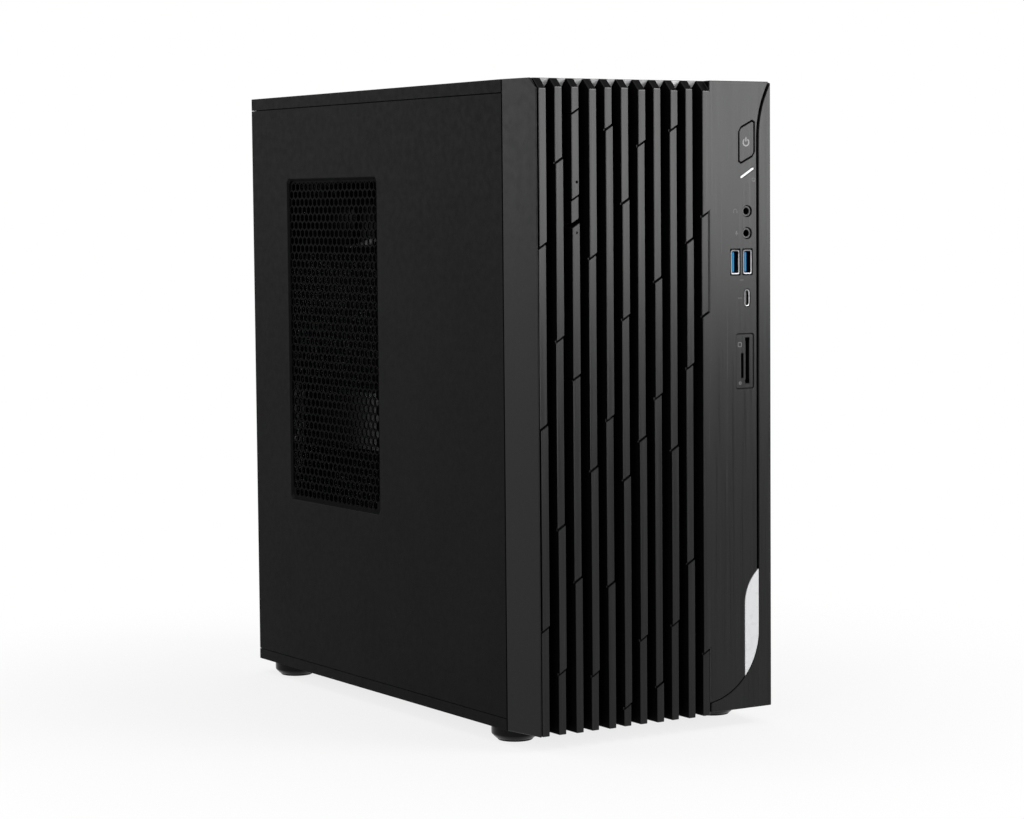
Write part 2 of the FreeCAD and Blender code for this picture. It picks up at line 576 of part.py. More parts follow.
# ---- optical drive ------------------------------------------------------------------------------------
def drive_z():
    return (DRIVE_MIDDLE_Z - DRIVE_TALL / 2, DRIVE_MIDDLE_Z + DRIVE_TALL / 2)


def make_drive_case():
    z = drive_z()
    x = (DRIVE_X - DRIVE_THICK / 2, DRIVE_X + DRIVE_THICK / 2)
    y = (WALL_FRONT - 6.0, WALL_FRONT - 6.0 + DRIVE_DEEP)
    outer = block(x, y, z)
    inner = block((x[0] + 0.6, x[1] - 0.6), (y[0] - 1, y[1] - 1.2), (z[0] + 0.6, z[1] - 0.6))
    return outer.cut(inner)


def make_drive_tray():
    """Tray with the disc well, a window for the laser sled and a hole for the spindle."""
    z = (drive_z()[0] + 1.2, drive_z()[1] - 1.2)
    x = (DRIVE_X - 4.6, DRIVE_X + 4.6)
    y = (DOOR_BACK + 0.01, WALL_FRONT - 6.0 + DRIVE_DEEP - 3.0)
    plate = block(x, y, z)
    middle = ((y[0] + y[1]) / 2 + 1.0, DRIVE_MIDDLE_Z)
    well = drum(DISC_RADIUS, (x[0] - 1, middle[0], middle[1]), (1, 0, 0), DISC_SINK + 1, 48)
    window = block((x[0] - 1, x[1] + 1), (middle[0] + 14, middle[0] + 52), (middle[1] - 14, middle[1] + 14))
    hole = drum(15.0, (x[0] - 1, middle[0], middle[1]), (1, 0, 0), 20)
    belly = block((x[0] + DISC_SINK + 1.4, x[1] + 1), (y[0] + 4, y[1] - 4), (z[0] + 4, z[1] - 4))
    bridge = block((x[1] - 1.2, x[1]), (middle[0] - 18, middle[0] + 13.4), (middle[1] - 6, middle[1] + 6))
    rails = block((x[1] - 3.0, x[1] - 1.8), (middle[0] + 13, middle[0] + 53),
                  (middle[1] - 12.5, middle[1] - 11.0))
    rails = rails.fuse(block((x[1] - 3.0, x[1] - 1.8), (middle[0] + 13, middle[0] + 53),
                             (middle[1] + 11.0, middle[1] + 12.5)))
    shell = plate.cut([well, window, hole, belly])
    arm = block((x[0] + DISC_SINK, x[1]), (middle[0] - 24, middle[0] - 14.5),
                (middle[1] - 6, middle[1] + 6))
    posts = [block((x[0] + DISC_SINK, x[1] - 1.8), (py, py + 2),
                   (middle[1] + s * 14.75 - 0.8, middle[1] + s * 14.75 + 0.8))
             for py in (middle[0] + 16, middle[0] + 48) for s in (-1, 1)]
    return join([shell, bridge, arm]), middle, x


def make_drive_door():
    """Rib front of the drive: two lengths with the eject button's pocket between, on a wide base plate."""
    heights = RIB_CUTS[DRIVE_RIB - 1][1]
    x = rib_x(DRIVE_RIB)
    low, high = door_window()
    base = block((DRIVE_X - DOOR_HALF, DRIVE_X + DOOR_HALF), (GROOVE_DEPTH, DOOR_BACK),
                 (low + MOVE_GAP, high - MOVE_GAP))
    upper = slanted(x, (heights[1] + CUT_WIDTH / 2, heights[0] - CUT_WIDTH / 2), CUT_ANGLE,
                    (DOOR_UPPER_SINK, GROOVE_DEPTH))
    lower = slanted(x, (heights[3] + CUT_WIDTH / 2, heights[2] - EJECT_LOWER_GAP / 2), CUT_ANGLE,
                    (DOOR_LOWER_SINK, GROOVE_DEPTH))
    pocket_back = slanted(x, (heights[2] - EJECT_LOWER_GAP, heights[1] + 1), CUT_ANGLE,
                          (EJECT_SINK + 7.0 + EJECT_TRAVEL + 0.2, GROOVE_DEPTH))
    pinhole = drum(PINHOLE, (DRIVE_X + 0.8, -1, PINHOLE_Z), (0, 1, 0), 6, 8)
    lamp = drum(LAMP_HOLE, (DRIVE_X + 0.3, -1, LAMP_Z), (0, 1, 0), 3, 6)
    return join([base, upper, lower, pocket_back]).cut([pinhole, lamp])


def make_eject_button():
    heights = RIB_CUTS[DRIVE_RIB - 1][1]
    return slanted(rib_x(DRIVE_RIB), (heights[2] + EJECT_LOWER_GAP / 2, heights[1] - CUT_WIDTH / 2),
                   CUT_ANGLE,
                   (EJECT_SINK, EJECT_SINK + 7.0))


def make_spindle(middle, x):
    """Turntable that clamps the disc, with its sprung centring cone."""
    hub = stacked([(13.0, 0), (13.0, 1.4), (7.4, 1.4), (7.4, 3.4)], 18)
    return aim(hub, (-1, 0, 0), (x[1] - 1.6, middle[0], middle[1]))


def make_sled(middle, x):
    body = block((x[0] + 2.0, x[1] - 1.0), (middle[0] + 15, middle[0] + 30),
                 (middle[1] - 13.2, middle[1] + 13.2))
    grooves = [block((x[1] - 3.3, x[1] + 1), (middle[0] + 10, middle[0] + 60), (middle[1] + s * 11.75 - 1.3,
               middle[1] + s * 11.75 + 1.3)) for s in (-1, 1)]
    lens = drum(3.0, (x[0] + 1.2, middle[0] + 22.5, middle[1]), (1, 0, 0), 1.0, 12)
    return join([body.cut(grooves), lens])


# ---- steel case -----------------------------------------------------------------------------------------
def make_base_pan():
    """Floor with its side bands and inward ledges, rear lip, foot holes and the intake slots."""
    y = (STEEL_FRONT, BACK)
    floor = block((-HALF, HALF), y, (0, SHEET))
    pieces = [floor]
    for s in (-1, 1):
        pieces.append(block(sorted((s * HALF, s * (HALF - SHEET))), y, (0, BAND_HEIGHT)))
        pieces.append(block(sorted((s * HALF, s * (HALF - LEDGE))), y, (BAND_HEIGHT - SHEET, BAND_HEIGHT)))
    pieces += [block((x - 5, x + 5), (y0 - 5, y0 + 5), (0, PSU_LIFT + SHEET))
               for x in (-52, 52) for y0 in (psu_y()[0] + 8, psu_y()[1] - 8)]
    cy = sum(psu_y()) / 2
    slots = [block((9 * i - 2, 9 * i + 2), (cy - 31, cy + 31), (-1, SHEET + 1)) for i in range(-3, 4)]
    return join(pieces).cut(slots)


def make_top_panel():
    y = (STEEL_FRONT, BACK)
    pieces = [block((-HALF, HALF), y, (TOP - SHEET, TOP))]
    for s in (-1, 1):
        pieces.append(block(sorted((s * HALF, s * (HALF - SHEET))), y, (TOP - TOP_BAND, TOP)))
        pieces.append(block(sorted((s * HALF, s * (HALF - LEDGE))), y,
                            (TOP - TOP_BAND, TOP - TOP_BAND + SHEET)))
    lip = HALF - REAR_FLANGE - SEAT_GAP
    pieces.append(block((-lip, lip), (BACK - SHEET, BACK), (TOP - 8, TOP)))
    return join(pieces)


def vent_outline(shrink):
    """Outline of the sunken area, drawn in by a distance."""
    y0, y1, z0, z1 = VENT_FRONT + shrink, VENT_REAR - shrink, VENT_LOW + shrink, VENT_HIGH - shrink
    c = VENT_CORNER
    return [(y0 + c, z0), (y1 - c, z0), (y1, z0 + c), (y1, z1 - c),
            (y1 - c, z1), (y0 + c, z1), (y0, z1 - c), (y0, z0 + c)]


def vent_tub(outer_grow):
    """Sloped-sided tub of the vent, drawn from the panel's face inwards."""
    g = outer_grow

    def ring(x, shrink):
        corners = [Vector(x, y, z) for y, z in vent_outline(shrink - g)]
        return Part.makePolygon(corners + corners[:1])

    extra = 0.5
    slope = VENT_SLOPE / VENT_SINK
    top = ring(-HALF - extra, -extra * slope) if g == 0 else ring(-HALF, 0)
    bottom = ring(-HALF + VENT_SINK + g, VENT_SLOPE + g * 0.4)
    return Part.makeLoft([top, bottom], True, True)


def hex_hole(y, z, x):
    corners = [Vector(x[0], y + VENT_HOLE * math.sin(math.radians(60 * k)),
                      z + VENT_HOLE * math.cos(math.radians(60 * k)))
               for k in range(6)]
    return extrude(Part.makePolygon(corners + corners[:1]), Vector(x[1] - x[0], 0, 0))


def make_left_panel():
    """Removable cover: flat face, folded flanges, and the sunken vent with its staggered holes."""
    y = (STEEL_FRONT, BACK)
    z = (PANEL_LOW, PANEL_HIGH)
    face = block((-HALF, -HALF + SHEET), y, z)
    inner = -HALF + SHEET
    flanges = [block((inner - 0.1, -HALF + PANEL_FLANGE), (y[0], REAR_INNER - 8), (z[0], z[0] + SHEET)),
               block((inner - 0.1, -HALF + PANEL_FLANGE), (y[0], REAR_INNER - 8), (z[1] - SHEET, z[1])),
               block((inner - 0.1, -HALF + 3.2), (y[0], y[0] + SHEET), z),
               block((inner - 0.1, -HALF + REAR_FLANGE), (BACK - SHEET, BACK), z)]
    shell = join([face.cut(prism_x(vent_outline(0), (-HALF - 1, inner + 1)))] + flanges)
    tub = vent_tub(SHEET).cut(vent_tub(0))
    panel = join([shell, tub])
    margin = VENT_SLOPE + VENT_HOLE + 1.0
    row_pitch = VENT_PITCH * math.sqrt(3) / 2
    depth = (-HALF + VENT_SINK - 1, -HALF + VENT_SINK + SHEET + 1)
    rows = int((VENT_HIGH - VENT_LOW - 2 * margin) / row_pitch) + 1
    first_z = (VENT_HIGH + VENT_LOW) / 2 - (rows - 1) * row_pitch / 2
    holes = []
    for row in range(rows):
        columns = int((VENT_REAR - VENT_FRONT - 2 * margin) / VENT_PITCH) + 1 - row % 2
        first_y = (VENT_REAR + VENT_FRONT) / 2 - (columns - 1) * VENT_PITCH / 2
        holes += [hex_hole(first_y + i * VENT_PITCH, first_z + row * row_pitch, depth)
                  for i in range(columns)]
    return panel.cut(holes + [screw_hole(-HALF + THUMB_INSET, BACK - SHEET, h) for h in THUMB_HEIGHTS])


def make_right_panel():
    y = (STEEL_FRONT, BACK)
    z = (PANEL_LOW, PANEL_HIGH)
    inner = HALF - SHEET
    pieces = [block((inner, HALF), y, z),
              block((HALF - PANEL_FLANGE, HALF), (y[0], REAR_INNER - 8), (z[0], z[0] + SHEET)),
              block((HALF - PANEL_FLANGE, HALF), (y[0], REAR_INNER - 8), (z[1] - SHEET, z[1])),
              block((HALF - PANEL_FLANGE, HALF), (y[0], y[0] + SHEET), z),
              block((HALF - REAR_FLANGE, HALF), (BACK - SHEET, BACK), z)]
    return join(pieces).cut([screw_hole(HALF - THUMB_INSET, BACK - SHEET, h) for h in THUMB_HEIGHTS])


def screw_hole(x, y, z, length=2 * SHEET):
    """Clearance hole that runs back through a sheet whose front face is at y."""
    return drum(SHANK_RADIUS + SCREW_GAP, (x, y - SHEET / 2, z), (0, 1, 0), length, SCREW_SIDES)


def thumbscrew(height):
    """Knurled cap with a screwdriver cross and a threaded shank drawn plain."""
    cap = drum(THUMB_RADIUS, (0, 0, 0), (0, 0, 1), THUMB_HEAD, THUMB_SIDES)
    cross = [Part.makeBox(6, 1.2, 2, Vector(-3, -0.6, THUMB_HEAD - 1.6)),
             Part.makeBox(1.2, 6, 2, Vector(-0.6, -3, THUMB_HEAD - 1.6))]
    shank = drum(SHANK_RADIUS, (0, 0, -SCREW_LENGTH), (0, 0, 1), SCREW_LENGTH, SCREW_SIDES)
    return aim(join([cap.cut(cross), shank]), (0, 1, 0), (-HALF + THUMB_INSET, BACK, height))


def fan_screw_places():
    cx, cz = rear_fan_place()
    reach = REAR_FAN_SCREWS / 2
    return [(cx + a * reach, cz + b * reach) for a in (-1, 1) for b in (-1, 1)]


def psu_screw_places():
    x = PSU_WIDTH / 2 - PSU_SCREW_INSET
    low, high = psu_z()
    return [(s * x, z) for s in (-1, 1) for z in (low + PSU_SCREW_INSET, high - PSU_SCREW_INSET)]


def case_screw(x, y, z):
    """Pan head against the sheet's rear face at y, its shank running forward."""
    head = drum(SCREW_HEAD, (0, 0, 0), (0, 0, 1), SCREW_HEAD_HIGH, SCREW_SIDES)
    shank = drum(SHANK_RADIUS, (0, 0, -SCREW_LENGTH), (0, 0, 1), SCREW_LENGTH, SCREW_SIDES)
    return aim(join([head, shank]), (0, 1, 0), (x, y, z))


def make_case_screws():
    """Two in the right panel, four in the rear fan and four in the power supply."""
    screws = [case_screw(HALF - THUMB_INSET, BACK, h) for h in THUMB_HEIGHTS]
    screws += [case_screw(x, REAR_OUTER, z) for x, z in fan_screw_places() + psu_screw_places()]
    return Part.makeCompound(screws)


def make_rear_panel():
    """Sheet with windows for the port shield, fan, expansion slots and power supply."""
    x = (-HALF + LEDGE - 3.0, HALF - SHEET - SEAT_GAP)
    z = (SHEET + SEAT_GAP, TOP - SHEET - SEAT_GAP)
    sheet = block(x, (REAR_INNER, REAR_OUTER), (z[0], z[1]))
    edge_z = (PANEL_LOW + 2, PANEL_HIGH - 2)
    flange = block((x[0], x[0] + SHEET), (REAR_INNER - 10, REAR_INNER + 0.1), edge_z)
    right_flange = block((x[1] - SHEET, x[1]), (REAR_INNER - 10, REAR_INNER + 0.1), edge_z)
    y = (REAR_INNER - 1, REAR_OUTER + 1)
    cuts = [block((SHIELD_LEFT, SHIELD_RIGHT), y, (SHIELD_LOW, SHIELD_HIGH))]
    cuts += [block((SHIELD_RIGHT - SLOT_REACH, SHIELD_RIGHT - 6), y,
                   (h - SLOT_WINDOW / 2, h + SLOT_WINDOW / 2))
             for h in SLOT_HEIGHTS]
    window = PSU_WIDTH / 2 - PSU_SCREW_INSET - SCREW_HEAD
    cuts.append(block((-window, window), y, (psu_z()[0] + 4, psu_z()[1] - 4)))
    cx, cz = rear_fan_place()
    cuts += grille_slots((cx, cz), REAR_FAN[2] - 2, y)
    places = [(s * (HALF - THUMB_INSET), h) for s in (-1, 1) for h in THUMB_HEIGHTS]
    cuts += [screw_hole(px, REAR_INNER, pz) for px, pz in places + fan_screw_places() + psu_screw_places()]
    notch = [block(sorted((s * (HALF - LEDGE - 1), s * (HALF + 1))), (REAR_INNER - 11, REAR_OUTER + 1),
                   band)
             for s in (-1, 1) for band in ((-1, PANEL_LOW + SHEET + 0.5),
                                           (PANEL_HIGH - SHEET - 0.5, TOP + 1))]
    return join([sheet, flange, right_flange]).cut(cuts + notch)


def grille_slots(centre, radius, y, pitch=9.2, width=6.0):
    """Upright slots over a round field, split by a bar at its middle."""
    slots = []
    count = int(radius / pitch)
    for i in range(-count, count + 1):
        reach = math.sqrt(radius ** 2
                          - (abs(i) * pitch + width / 2) ** 2) if abs(i) * pitch + width / 2 < radius else 0
        if reach < 6:
            continue
        x = (centre[0] + i * pitch - width / 2, centre[0] + i * pitch + width / 2)
        slots.append(block(x, y, (centre[1] - reach, centre[1] - 2)))
        slots.append(block(x, y, (centre[1] + 2, centre[1] + reach)))
    return slots


def make_front_wall():
    """Inner steel front that the bezel clips to, with windows for the drive and the port board."""
    x = (-HALF + PANEL_FLANGE + 0.6, HALF - PANEL_FLANGE - 0.6)
    z = (SHEET + SEAT_GAP, TOP - SHEET - SEAT_GAP)
    sheet = block(x, (WALL_FRONT, WALL_BACK), z)
    folds = [block((x[0], x[0] + SHEET), (WALL_FRONT, WALL_BACK + 12), (PANEL_LOW, PANEL_HIGH)),
             block((x[1] - SHEET, x[1]), (WALL_FRONT, WALL_BACK + 12), (PANEL_LOW, PANEL_HIGH))]
    y = (WALL_FRONT - 1, WALL_BACK + 13)
    low, high = drive_z()
    cuts = [block((DRIVE_X - DRIVE_THICK / 2 - 0.6, DRIVE_X + DRIVE_THICK / 2 + 0.6), y,
                  (low - 0.6, high + 0.6)),
            block((44.0, 66.0), (WALL_FRONT - 1, WALL_BACK + 1), (172.0, 315.0)),
            block((x[0] - 1, x[0] + 3), y, (-1, BAND_HEIGHT + SEAT_GAP)), block((x[1] - 3, x[1] + 1), y,
                                                                                (-1,
                                                                                 BAND_HEIGHT + SEAT_GAP)),
            block((x[0] - 1, x[0] + 3), y, (TOP - TOP_BAND - SEAT_GAP, TOP)), block((x[1] - 3, x[1] + 1), y,
                                                                                    (TOP - TOP_BAND
                                                                                     - SEAT_GAP, TOP))]
    cuts += [block((px - 4.5, px + 4.5), (WALL_FRONT - 1, WALL_BACK + 1), (pz - 1.5, pz + 1.5))
             for px, pz in clip_places_level()]
    cuts += [block((px - 1.5, px + 1.5), (WALL_FRONT - 1, WALL_BACK + 1), (pz - 4.5, pz + 4.5))
             for px, pz in clip_places_upright()]
    cuts += [block((-32 + 26 * i, -18 + 26 * i), (WALL_FRONT - 1, WALL_BACK + 1), (z0, z1))
             for i in range(3) for z0, z1 in ((52, 172), (188, 308))]
    return join([sheet] + folds).cut(cuts)


def make_motherboard_tray():
    y = (WALL_BACK + 14, REAR_INNER - 12)
    sheet = block((TRAY_X, TRAY_X + SHEET), y, (PSU_HEIGHT + 3, TOP - TOP_BAND - 3))
    folds = [block((TRAY_X, HALF - SHEET - SEAT_GAP), y, (PSU_HEIGHT + 3, PSU_HEIGHT + 3 + SHEET)),
             block((TRAY_X, HALF - SHEET - SEAT_GAP), (y[0], y[0] + SHEET),
                   (PSU_HEIGHT + 3, TOP - TOP_BAND - 3))]
    x = (TRAY_X - 1, TRAY_X + 2)
    cuts = [block(x, (190, 265), (225, 300)), block(x, (48, 60), (130, 190)),
            block(x, (48, 60), (230, 290))]
    return join([sheet] + folds).cut(cuts)


def foot_places():
    return [(s * (HALF - FOOT_INSET_SIDE), y) for y in (FOOT_INSET_FRONT, BACK - FOOT_INSET_REAR)
            for s in (-1, 1)]


def make_foot(place):
    """Round foot, drawn in towards its pad."""
    foot = stacked([(FOOT_RADIUS - FOOT_DRAW, -FOOT_HEIGHT + PAD_THICK), (FOOT_RADIUS, -FOOT_STRAIGHT),
                    (FOOT_RADIUS, 0)], FOOT_SIDES)
    foot.translate(Vector(place[0], place[1], 0))
    return foot


def make_foot_pad(place):
    pad = drum(PAD_RADIUS, (0, 0, -FOOT_HEIGHT), (0, 0, 1), PAD_THICK, PAD_SIDES)
    pad.translate(Vector(place[0], place[1], 0))
    return pad


# ---- fans -----------------------------------------------------------------------------------------------
def fan_frame(size, depth, bore, hub):
    """Square fan housing drawn along +Z, its motor seat, axle and four struts at the far end."""
    half = size / 2
    body = Part.makeBox(size, size, depth,
                        Vector(-half, -half, 0)).cut(drum(bore, (0, 0, 0), (0, 0, 1), depth, 32))
    seat = drum(hub, (0, 0, depth - 2.0), (0, 0, 1), 2.0, 16)
    axle = Part.makeCylinder(AXLE_RADIUS, 8.0, Vector(0, 0, depth - 10.0))
    struts = []
    for k in range(4):
        strut = Part.makeBox(bore - hub + 3, 3.0, 2.0, Vector(hub - 2, -1.5, depth - 2.0))
        strut.rotate(Vector(0, 0, 0), Vector(0, 0, 1), 90 * k + 30)
        struts.append(strut)
    return join([body, seat, axle] + struts)


def fan_blade(hub, tip, chord, pitch, camber, thick=1.4):
    """Cambered blade along +X: a bent plate, pitched to the fan's plane, from inside the hub to the tip."""
    half = chord / 2
    section = [(-half, -thick / 2), (half, -thick / 2), (half, thick / 2), (-half, thick / 2)]
    if camber:
        section.insert(1, (0, camber - thick / 2))
        section.insert(4, (0, camber + thick / 2))
    reach = math.sqrt(tip ** 2 - (half + 1) ** 2)
    blade = prism_x(section, (hub - 3.0, reach))
    blade.rotate(Vector(0, 0, 0), Vector(1, 0, 0), pitch)
    return blade


def fan_rotor(bore, hub, depth, blades, chord, pitch=35.0, camber=2.2):
    """Hub and blades drawn along +Z, with a blind bore for the axle on the motor side."""
    height = depth - 3.5
    core = drum(hub - 0.5, (0, 0, 0.5), (0, 0, 1), height, 2 * blades)
    pieces = [core]
    for k in range(blades):
        blade = fan_blade(hub, bore - BLADE_GAP, chord, pitch, camber)
        blade.translate(Vector(0, 0, 0.5 + height / 2))
        blade.rotate(Vector(0, 0, 0), Vector(0, 0, 1), 360 * k / blades)
        pieces.append(blade)
    bore_start = depth - 10.0 - SEAT_GAP
    return join(pieces).cut(Part.makeCylinder(AXLE_RADIUS + AXLE_GAP, depth, Vector(0, 0, bore_start)))


def rear_fan_place():
    return (SHIELD_LEFT - REAR_FAN[0] / 2 - 1.0, TOP - 52.0)


# ---- board and cards --------------------------------------------------------------------------------------
def board_points():
    return [(y, z) for y in (BOARD_REAR - 10, BOARD_REAR - 140, BOARD_FRONT + 12)
            for z in (BOARD_BOTTOM + 8, BOARD_BOTTOM + 82, BOARD_TOP - 7)]


def make_motherboard():
    """Printed board with its socket frame, slot connectors, coil and chip blocks."""
    return block((BOARD_FACE, BOARD_BACK), (BOARD_FRONT, BOARD_REAR), (BOARD_BOTTOM, BOARD_TOP))


def cooler_place():
    return (BOARD_REAR - 76.0, BOARD_TOP - 76.0)


def make_board_blocks():
    """Connectors and coils that stand on the board, as one group of separate solids."""
    x0 = BOARD_FACE
    cy, cz = cooler_place()
    blocks = [block((x0 - 4.0, x0), (cy - 22, cy + 22), (cz - 24, cz + 24))]
    blocks += [block((x0 - 9, x0), (cy + 44, cy + 51), (cz - 40 + 14 * i, cz - 30 + 14 * i))
               for i in range(5)]
    blocks += [block((x0 - 12, x0), (BOARD_FRONT + 3, BOARD_FRONT + 14), (BOARD_TOP - 130, BOARD_TOP - 78))]
    blocks += [block((x0 - 7, x0), (BOARD_FRONT + 40, BOARD_FRONT + 78),
                     (BOARD_BOTTOM + 14, BOARD_BOTTOM + 52))]
    return Part.makeCompound(blocks)


def slot_connector_z():
    return [SLOT_HEIGHTS[0] + 5.0, SLOT_HEIGHTS[2] + 5.0, SLOT_HEIGHTS[3] + 5.0]


def card_connectors():
    solids = []
    for z, length in zip(slot_connector_z(), (89.0, 25.0, 25.0)):
        body = block((BOARD_FACE - 11, BOARD_FACE), (BOARD_REAR - 52 - length, BOARD_REAR - 52),
                     (z - 3.7, z + 3.7))
        solids.append(body.cut(block((BOARD_FACE - 12, BOARD_FACE - 3),
                                     (BOARD_REAR - 50 - length, BOARD_REAR - 54), (z - 1.1, z + 1.1))))
    return solids


def memory_y():
    return [BOARD_REAR - 148.0 - 9.5 * i for i in range(4)]


def memory_connectors():
    solids = []
    for y in memory_y():
        body = block((BOARD_FACE - 7.5, BOARD_FACE), (y - 3.2, y + 3.2), (BOARD_TOP - 148, BOARD_TOP - 6))
        solids.append(body.cut(block((BOARD_FACE - 8, BOARD_FACE - 2.4), (y - 0.8, y + 0.8),
                                     (BOARD_TOP - 144, BOARD_TOP - 9.8))))
    return solids


def make_memory_stick(y):
    card = block((BOARD_FACE - 34.0, BOARD_FACE - 2.6), (y - 0.6, y + 0.6),
                 (BOARD_TOP - 143.4, BOARD_TOP - 10.4))
    chips = [block((BOARD_FACE - 26.0, BOARD_FACE - 16.0), (y + 0.55, y + 1.6),
                   (BOARD_TOP - 138 + 32 * i, BOARD_TOP - 112 + 32 * i)) for i in range(4)]
    return join([card] + chips)


def make_standoffs():
    corners = [(3.2 * math.cos(math.radians(60 * k)), 3.2 * math.sin(math.radians(60 * k)))
               for k in range(6)]
    return Part.makeCompound([prism_x([(y + a, z + b) for a, b in corners],
                                      (BOARD_BACK, BOARD_BACK + STANDOFF))
                              for y, z in board_points()])


def make_cooler():
    """Base block and fin stack; the fins run along Z and the fan blows down on them."""
    cy, cz = cooler_place()
    x_base = BOARD_FACE - 4.0
    base = block((x_base - 8, x_base), (cy - 20, cy + 20), (cz - 20, cz + 20))
    plate = block((x_base - 10.5, x_base - 8), (cy - 42, cy + 42), (cz - 42, cz + 42))
    fins = [block((x_base - 30, x_base - 10.5), (cy - 40 + 6 * i, cy - 38.6 + 6 * i), (cz - 42, cz + 42))
            for i in range(14)]
    return join([base, plate] + fins), x_base - 30


def make_card():
    """Graphics card: board, fin block, shroud with its fan opening, bracket."""
    z = slot_connector_z()[0]
    y = (BOARD_REAR - 176, BOARD_REAR - 2)
    board = block((BOARD_FACE - 108, BOARD_FACE - 11.5), y, (z - 0.8, z + 0.8))
    finger = block((BOARD_FACE - 12, BOARD_FACE - 3.4), (BOARD_REAR - 138, BOARD_REAR - 56),
                   (z - 0.8, z + 0.8))
    low = z - 33.0
    x = (BOARD_FACE - 106, BOARD_FACE - 16)
    shroud = block(x, (y[0] + 1, y[1] - 3), (low, z - 3.0))
    shroud = shroud.cut(block((x[0] + 2, x[1] - 2), (y[0] + 3, y[1]), (low + 2, z)))
    centre = ((x[0] + x[1]) / 2, (y[0] + y[1]) / 2 - 2)
    shroud = shroud.cut(drum(CARD_FAN_RADIUS, (centre[0], centre[1], low - 1), (0, 0, 1), 5, 36))
    fins = [block((x[0] + 4 + 8 * i, x[0] + 5.2 + 8 * i), (y[0] + 6, y[1] - 8), (low + 15, z - 3.5))
            for i in range(11)]
    base = block((x[0] + 4, x[1] - 4), (y[0] + 6, y[1] - 8), (z - 3.6, z - 0.8))
    sink = join([base] + fins)
    bracket_low = SLOT_HEIGHTS[1] - SLOT_COVER / 2
    bracket = block((SHIELD_RIGHT - SLOT_REACH - 4, BOARD_FACE - 0.6), (REAR_INNER - 1.2, REAR_INNER - 0.3),
                    (bracket_low, SLOT_HEIGHTS[0] + SLOT_COVER / 2))
    tab = block((SHIELD_RIGHT - SLOT_REACH - 4, SHIELD_RIGHT - SLOT_REACH - 3.1),
                (REAR_INNER - 12, REAR_INNER - 0.3), (bracket_low, SLOT_HEIGHTS[0] + SLOT_COVER / 2))
    ports = [block((px + 0.2, px + 15.8), (REAR_INNER - 3, REAR_INNER), (z - 6.9, z - 0.55))
             for px in (-30, -6, 18)]
    exhaust = [block((-40, 40), (REAR_INNER - 3, REAR_INNER),
                     (SLOT_HEIGHTS[1] - 4 + 4 * i, SLOT_HEIGHTS[1] - 2 + 4 * i)) for i in range(3)]
    sockets = [block((px + 0.5, px + 15.5), (BOARD_REAR - 18, REAR_INNER - 0.9), (z - 6.6, z - 0.85))
               for px in (-30, -6, 18)]
    sockets = [s.cut(block((px + 1.3, px + 14.7), (REAR_INNER - 12, REAR_INNER + 1), (z - 5.8, z - 1.8)))
               for s, px in zip(sockets, (-30, -6, 18))]
    shroud = shroud.cut([block((px - 1, px + 17), (y[1] - 20, y[1]), (z - 8, z)) for px in (-30, -6, 18)])
    sink = sink.cut([block((px - 1, px + 17), (y[1] - 20, y[1]), (z - 8, z)) for px in (-30, -6, 18)])
    return {"graphics_board": join([board, finger]), "graphics_shroud": shroud, "graphics_heatsink": sink,
            "graphics_bracket": Part.makeCompound([join([bracket, tab]).cut(ports + exhaust)]
                                                  + sockets)}, (centre[0], centre[1], low + 1.0)


def make_slot_covers():
    solids = []
    for h in SLOT_HEIGHTS[2:]:
        plate = block((SHIELD_RIGHT - SLOT_REACH - 4, BOARD_FACE - 0.6),
                      (REAR_INNER - 1.2, REAR_INNER - 0.3), (h - SLOT_COVER / 2, h + SLOT_COVER / 2))
        tab = block((SHIELD_RIGHT - SLOT_REACH - 4, SHIELD_RIGHT - SLOT_REACH - 3.1),
                    (REAR_INNER - 12, REAR_INNER - 0.3), (h - SLOT_COVER / 2, h + SLOT_COVER / 2))
        solids.append(join([plate, tab]))
    return Part.makeCompound(solids)


# rear sockets on the board: name, middle height, width up, reach from the board, openings as
# (offset up, low reach, high reach, half width)
REAR_SOCKETS = {
    "usb_high": (SHIELD_HIGH - 14, 16.0, 30.0, [(0, 3.2, 8.4, 6.2), (0, 11.4, 16.6, 6.2)]),
    "video": (SHIELD_HIGH - 42, 36.0, 10.0, [(-9, 3.0, 7.6, 7.6), (9, 3.0, 7.8, 8.0)]),
    "network": (SHIELD_HIGH - 84, 17.0, 30.0,
                [(0, 3.2, 8.4, 6.2), (0, 11.4, 16.6, 6.2), (0, 19.0, 27.5, 6.0)]),
    "usb_low": (SHIELD_HIGH - 110, 16.0, 18.0, [(0, 3.2, 8.4, 6.2), (0, 11.4, 16.6, 6.2)]),
}
SOCKET_DEPTH = 20.0
AUDIO_Z = SHIELD_HIGH - 138


def make_rear_socket(data):
    middle, width, reach, openings = data
    y = (REAR_INNER - SOCKET_DEPTH, REAR_OUTER + 0.6)
    body = block((BOARD_FACE - reach, BOARD_FACE), y, (middle - width / 2, middle + width / 2))
    cuts = [block((BOARD_FACE - high, BOARD_FACE - low), (y[1] - 12, y[1] + 1),
                  (middle + up - half, middle + up + half))
            for up, low, high, half in openings]
    tongues = [block((BOARD_FACE - low - 2.6, BOARD_FACE - low - 0.8), (y[1] - 12.5, y[1] - 1),
                     (middle + up - half + 0.8, middle + up + half - 0.8))
               for up, low, high, half in openings if high - low < 6]
    return join([body.cut(cuts)] + tongues)


def make_audio_sockets():
    body = block((BOARD_FACE - 36, BOARD_FACE), (REAR_INNER - SOCKET_DEPTH, REAR_OUTER + 0.6),
                 (AUDIO_Z - 6.5, AUDIO_Z + 6.5))
    bores = [drum(JACK_BORE, (BOARD_FACE - r, REAR_OUTER + 2, AUDIO_Z), (0, -1, 0), 16, JACK_BORE_SIDES)
             for r in (6, 18, 30)]
    return body.cut(bores)


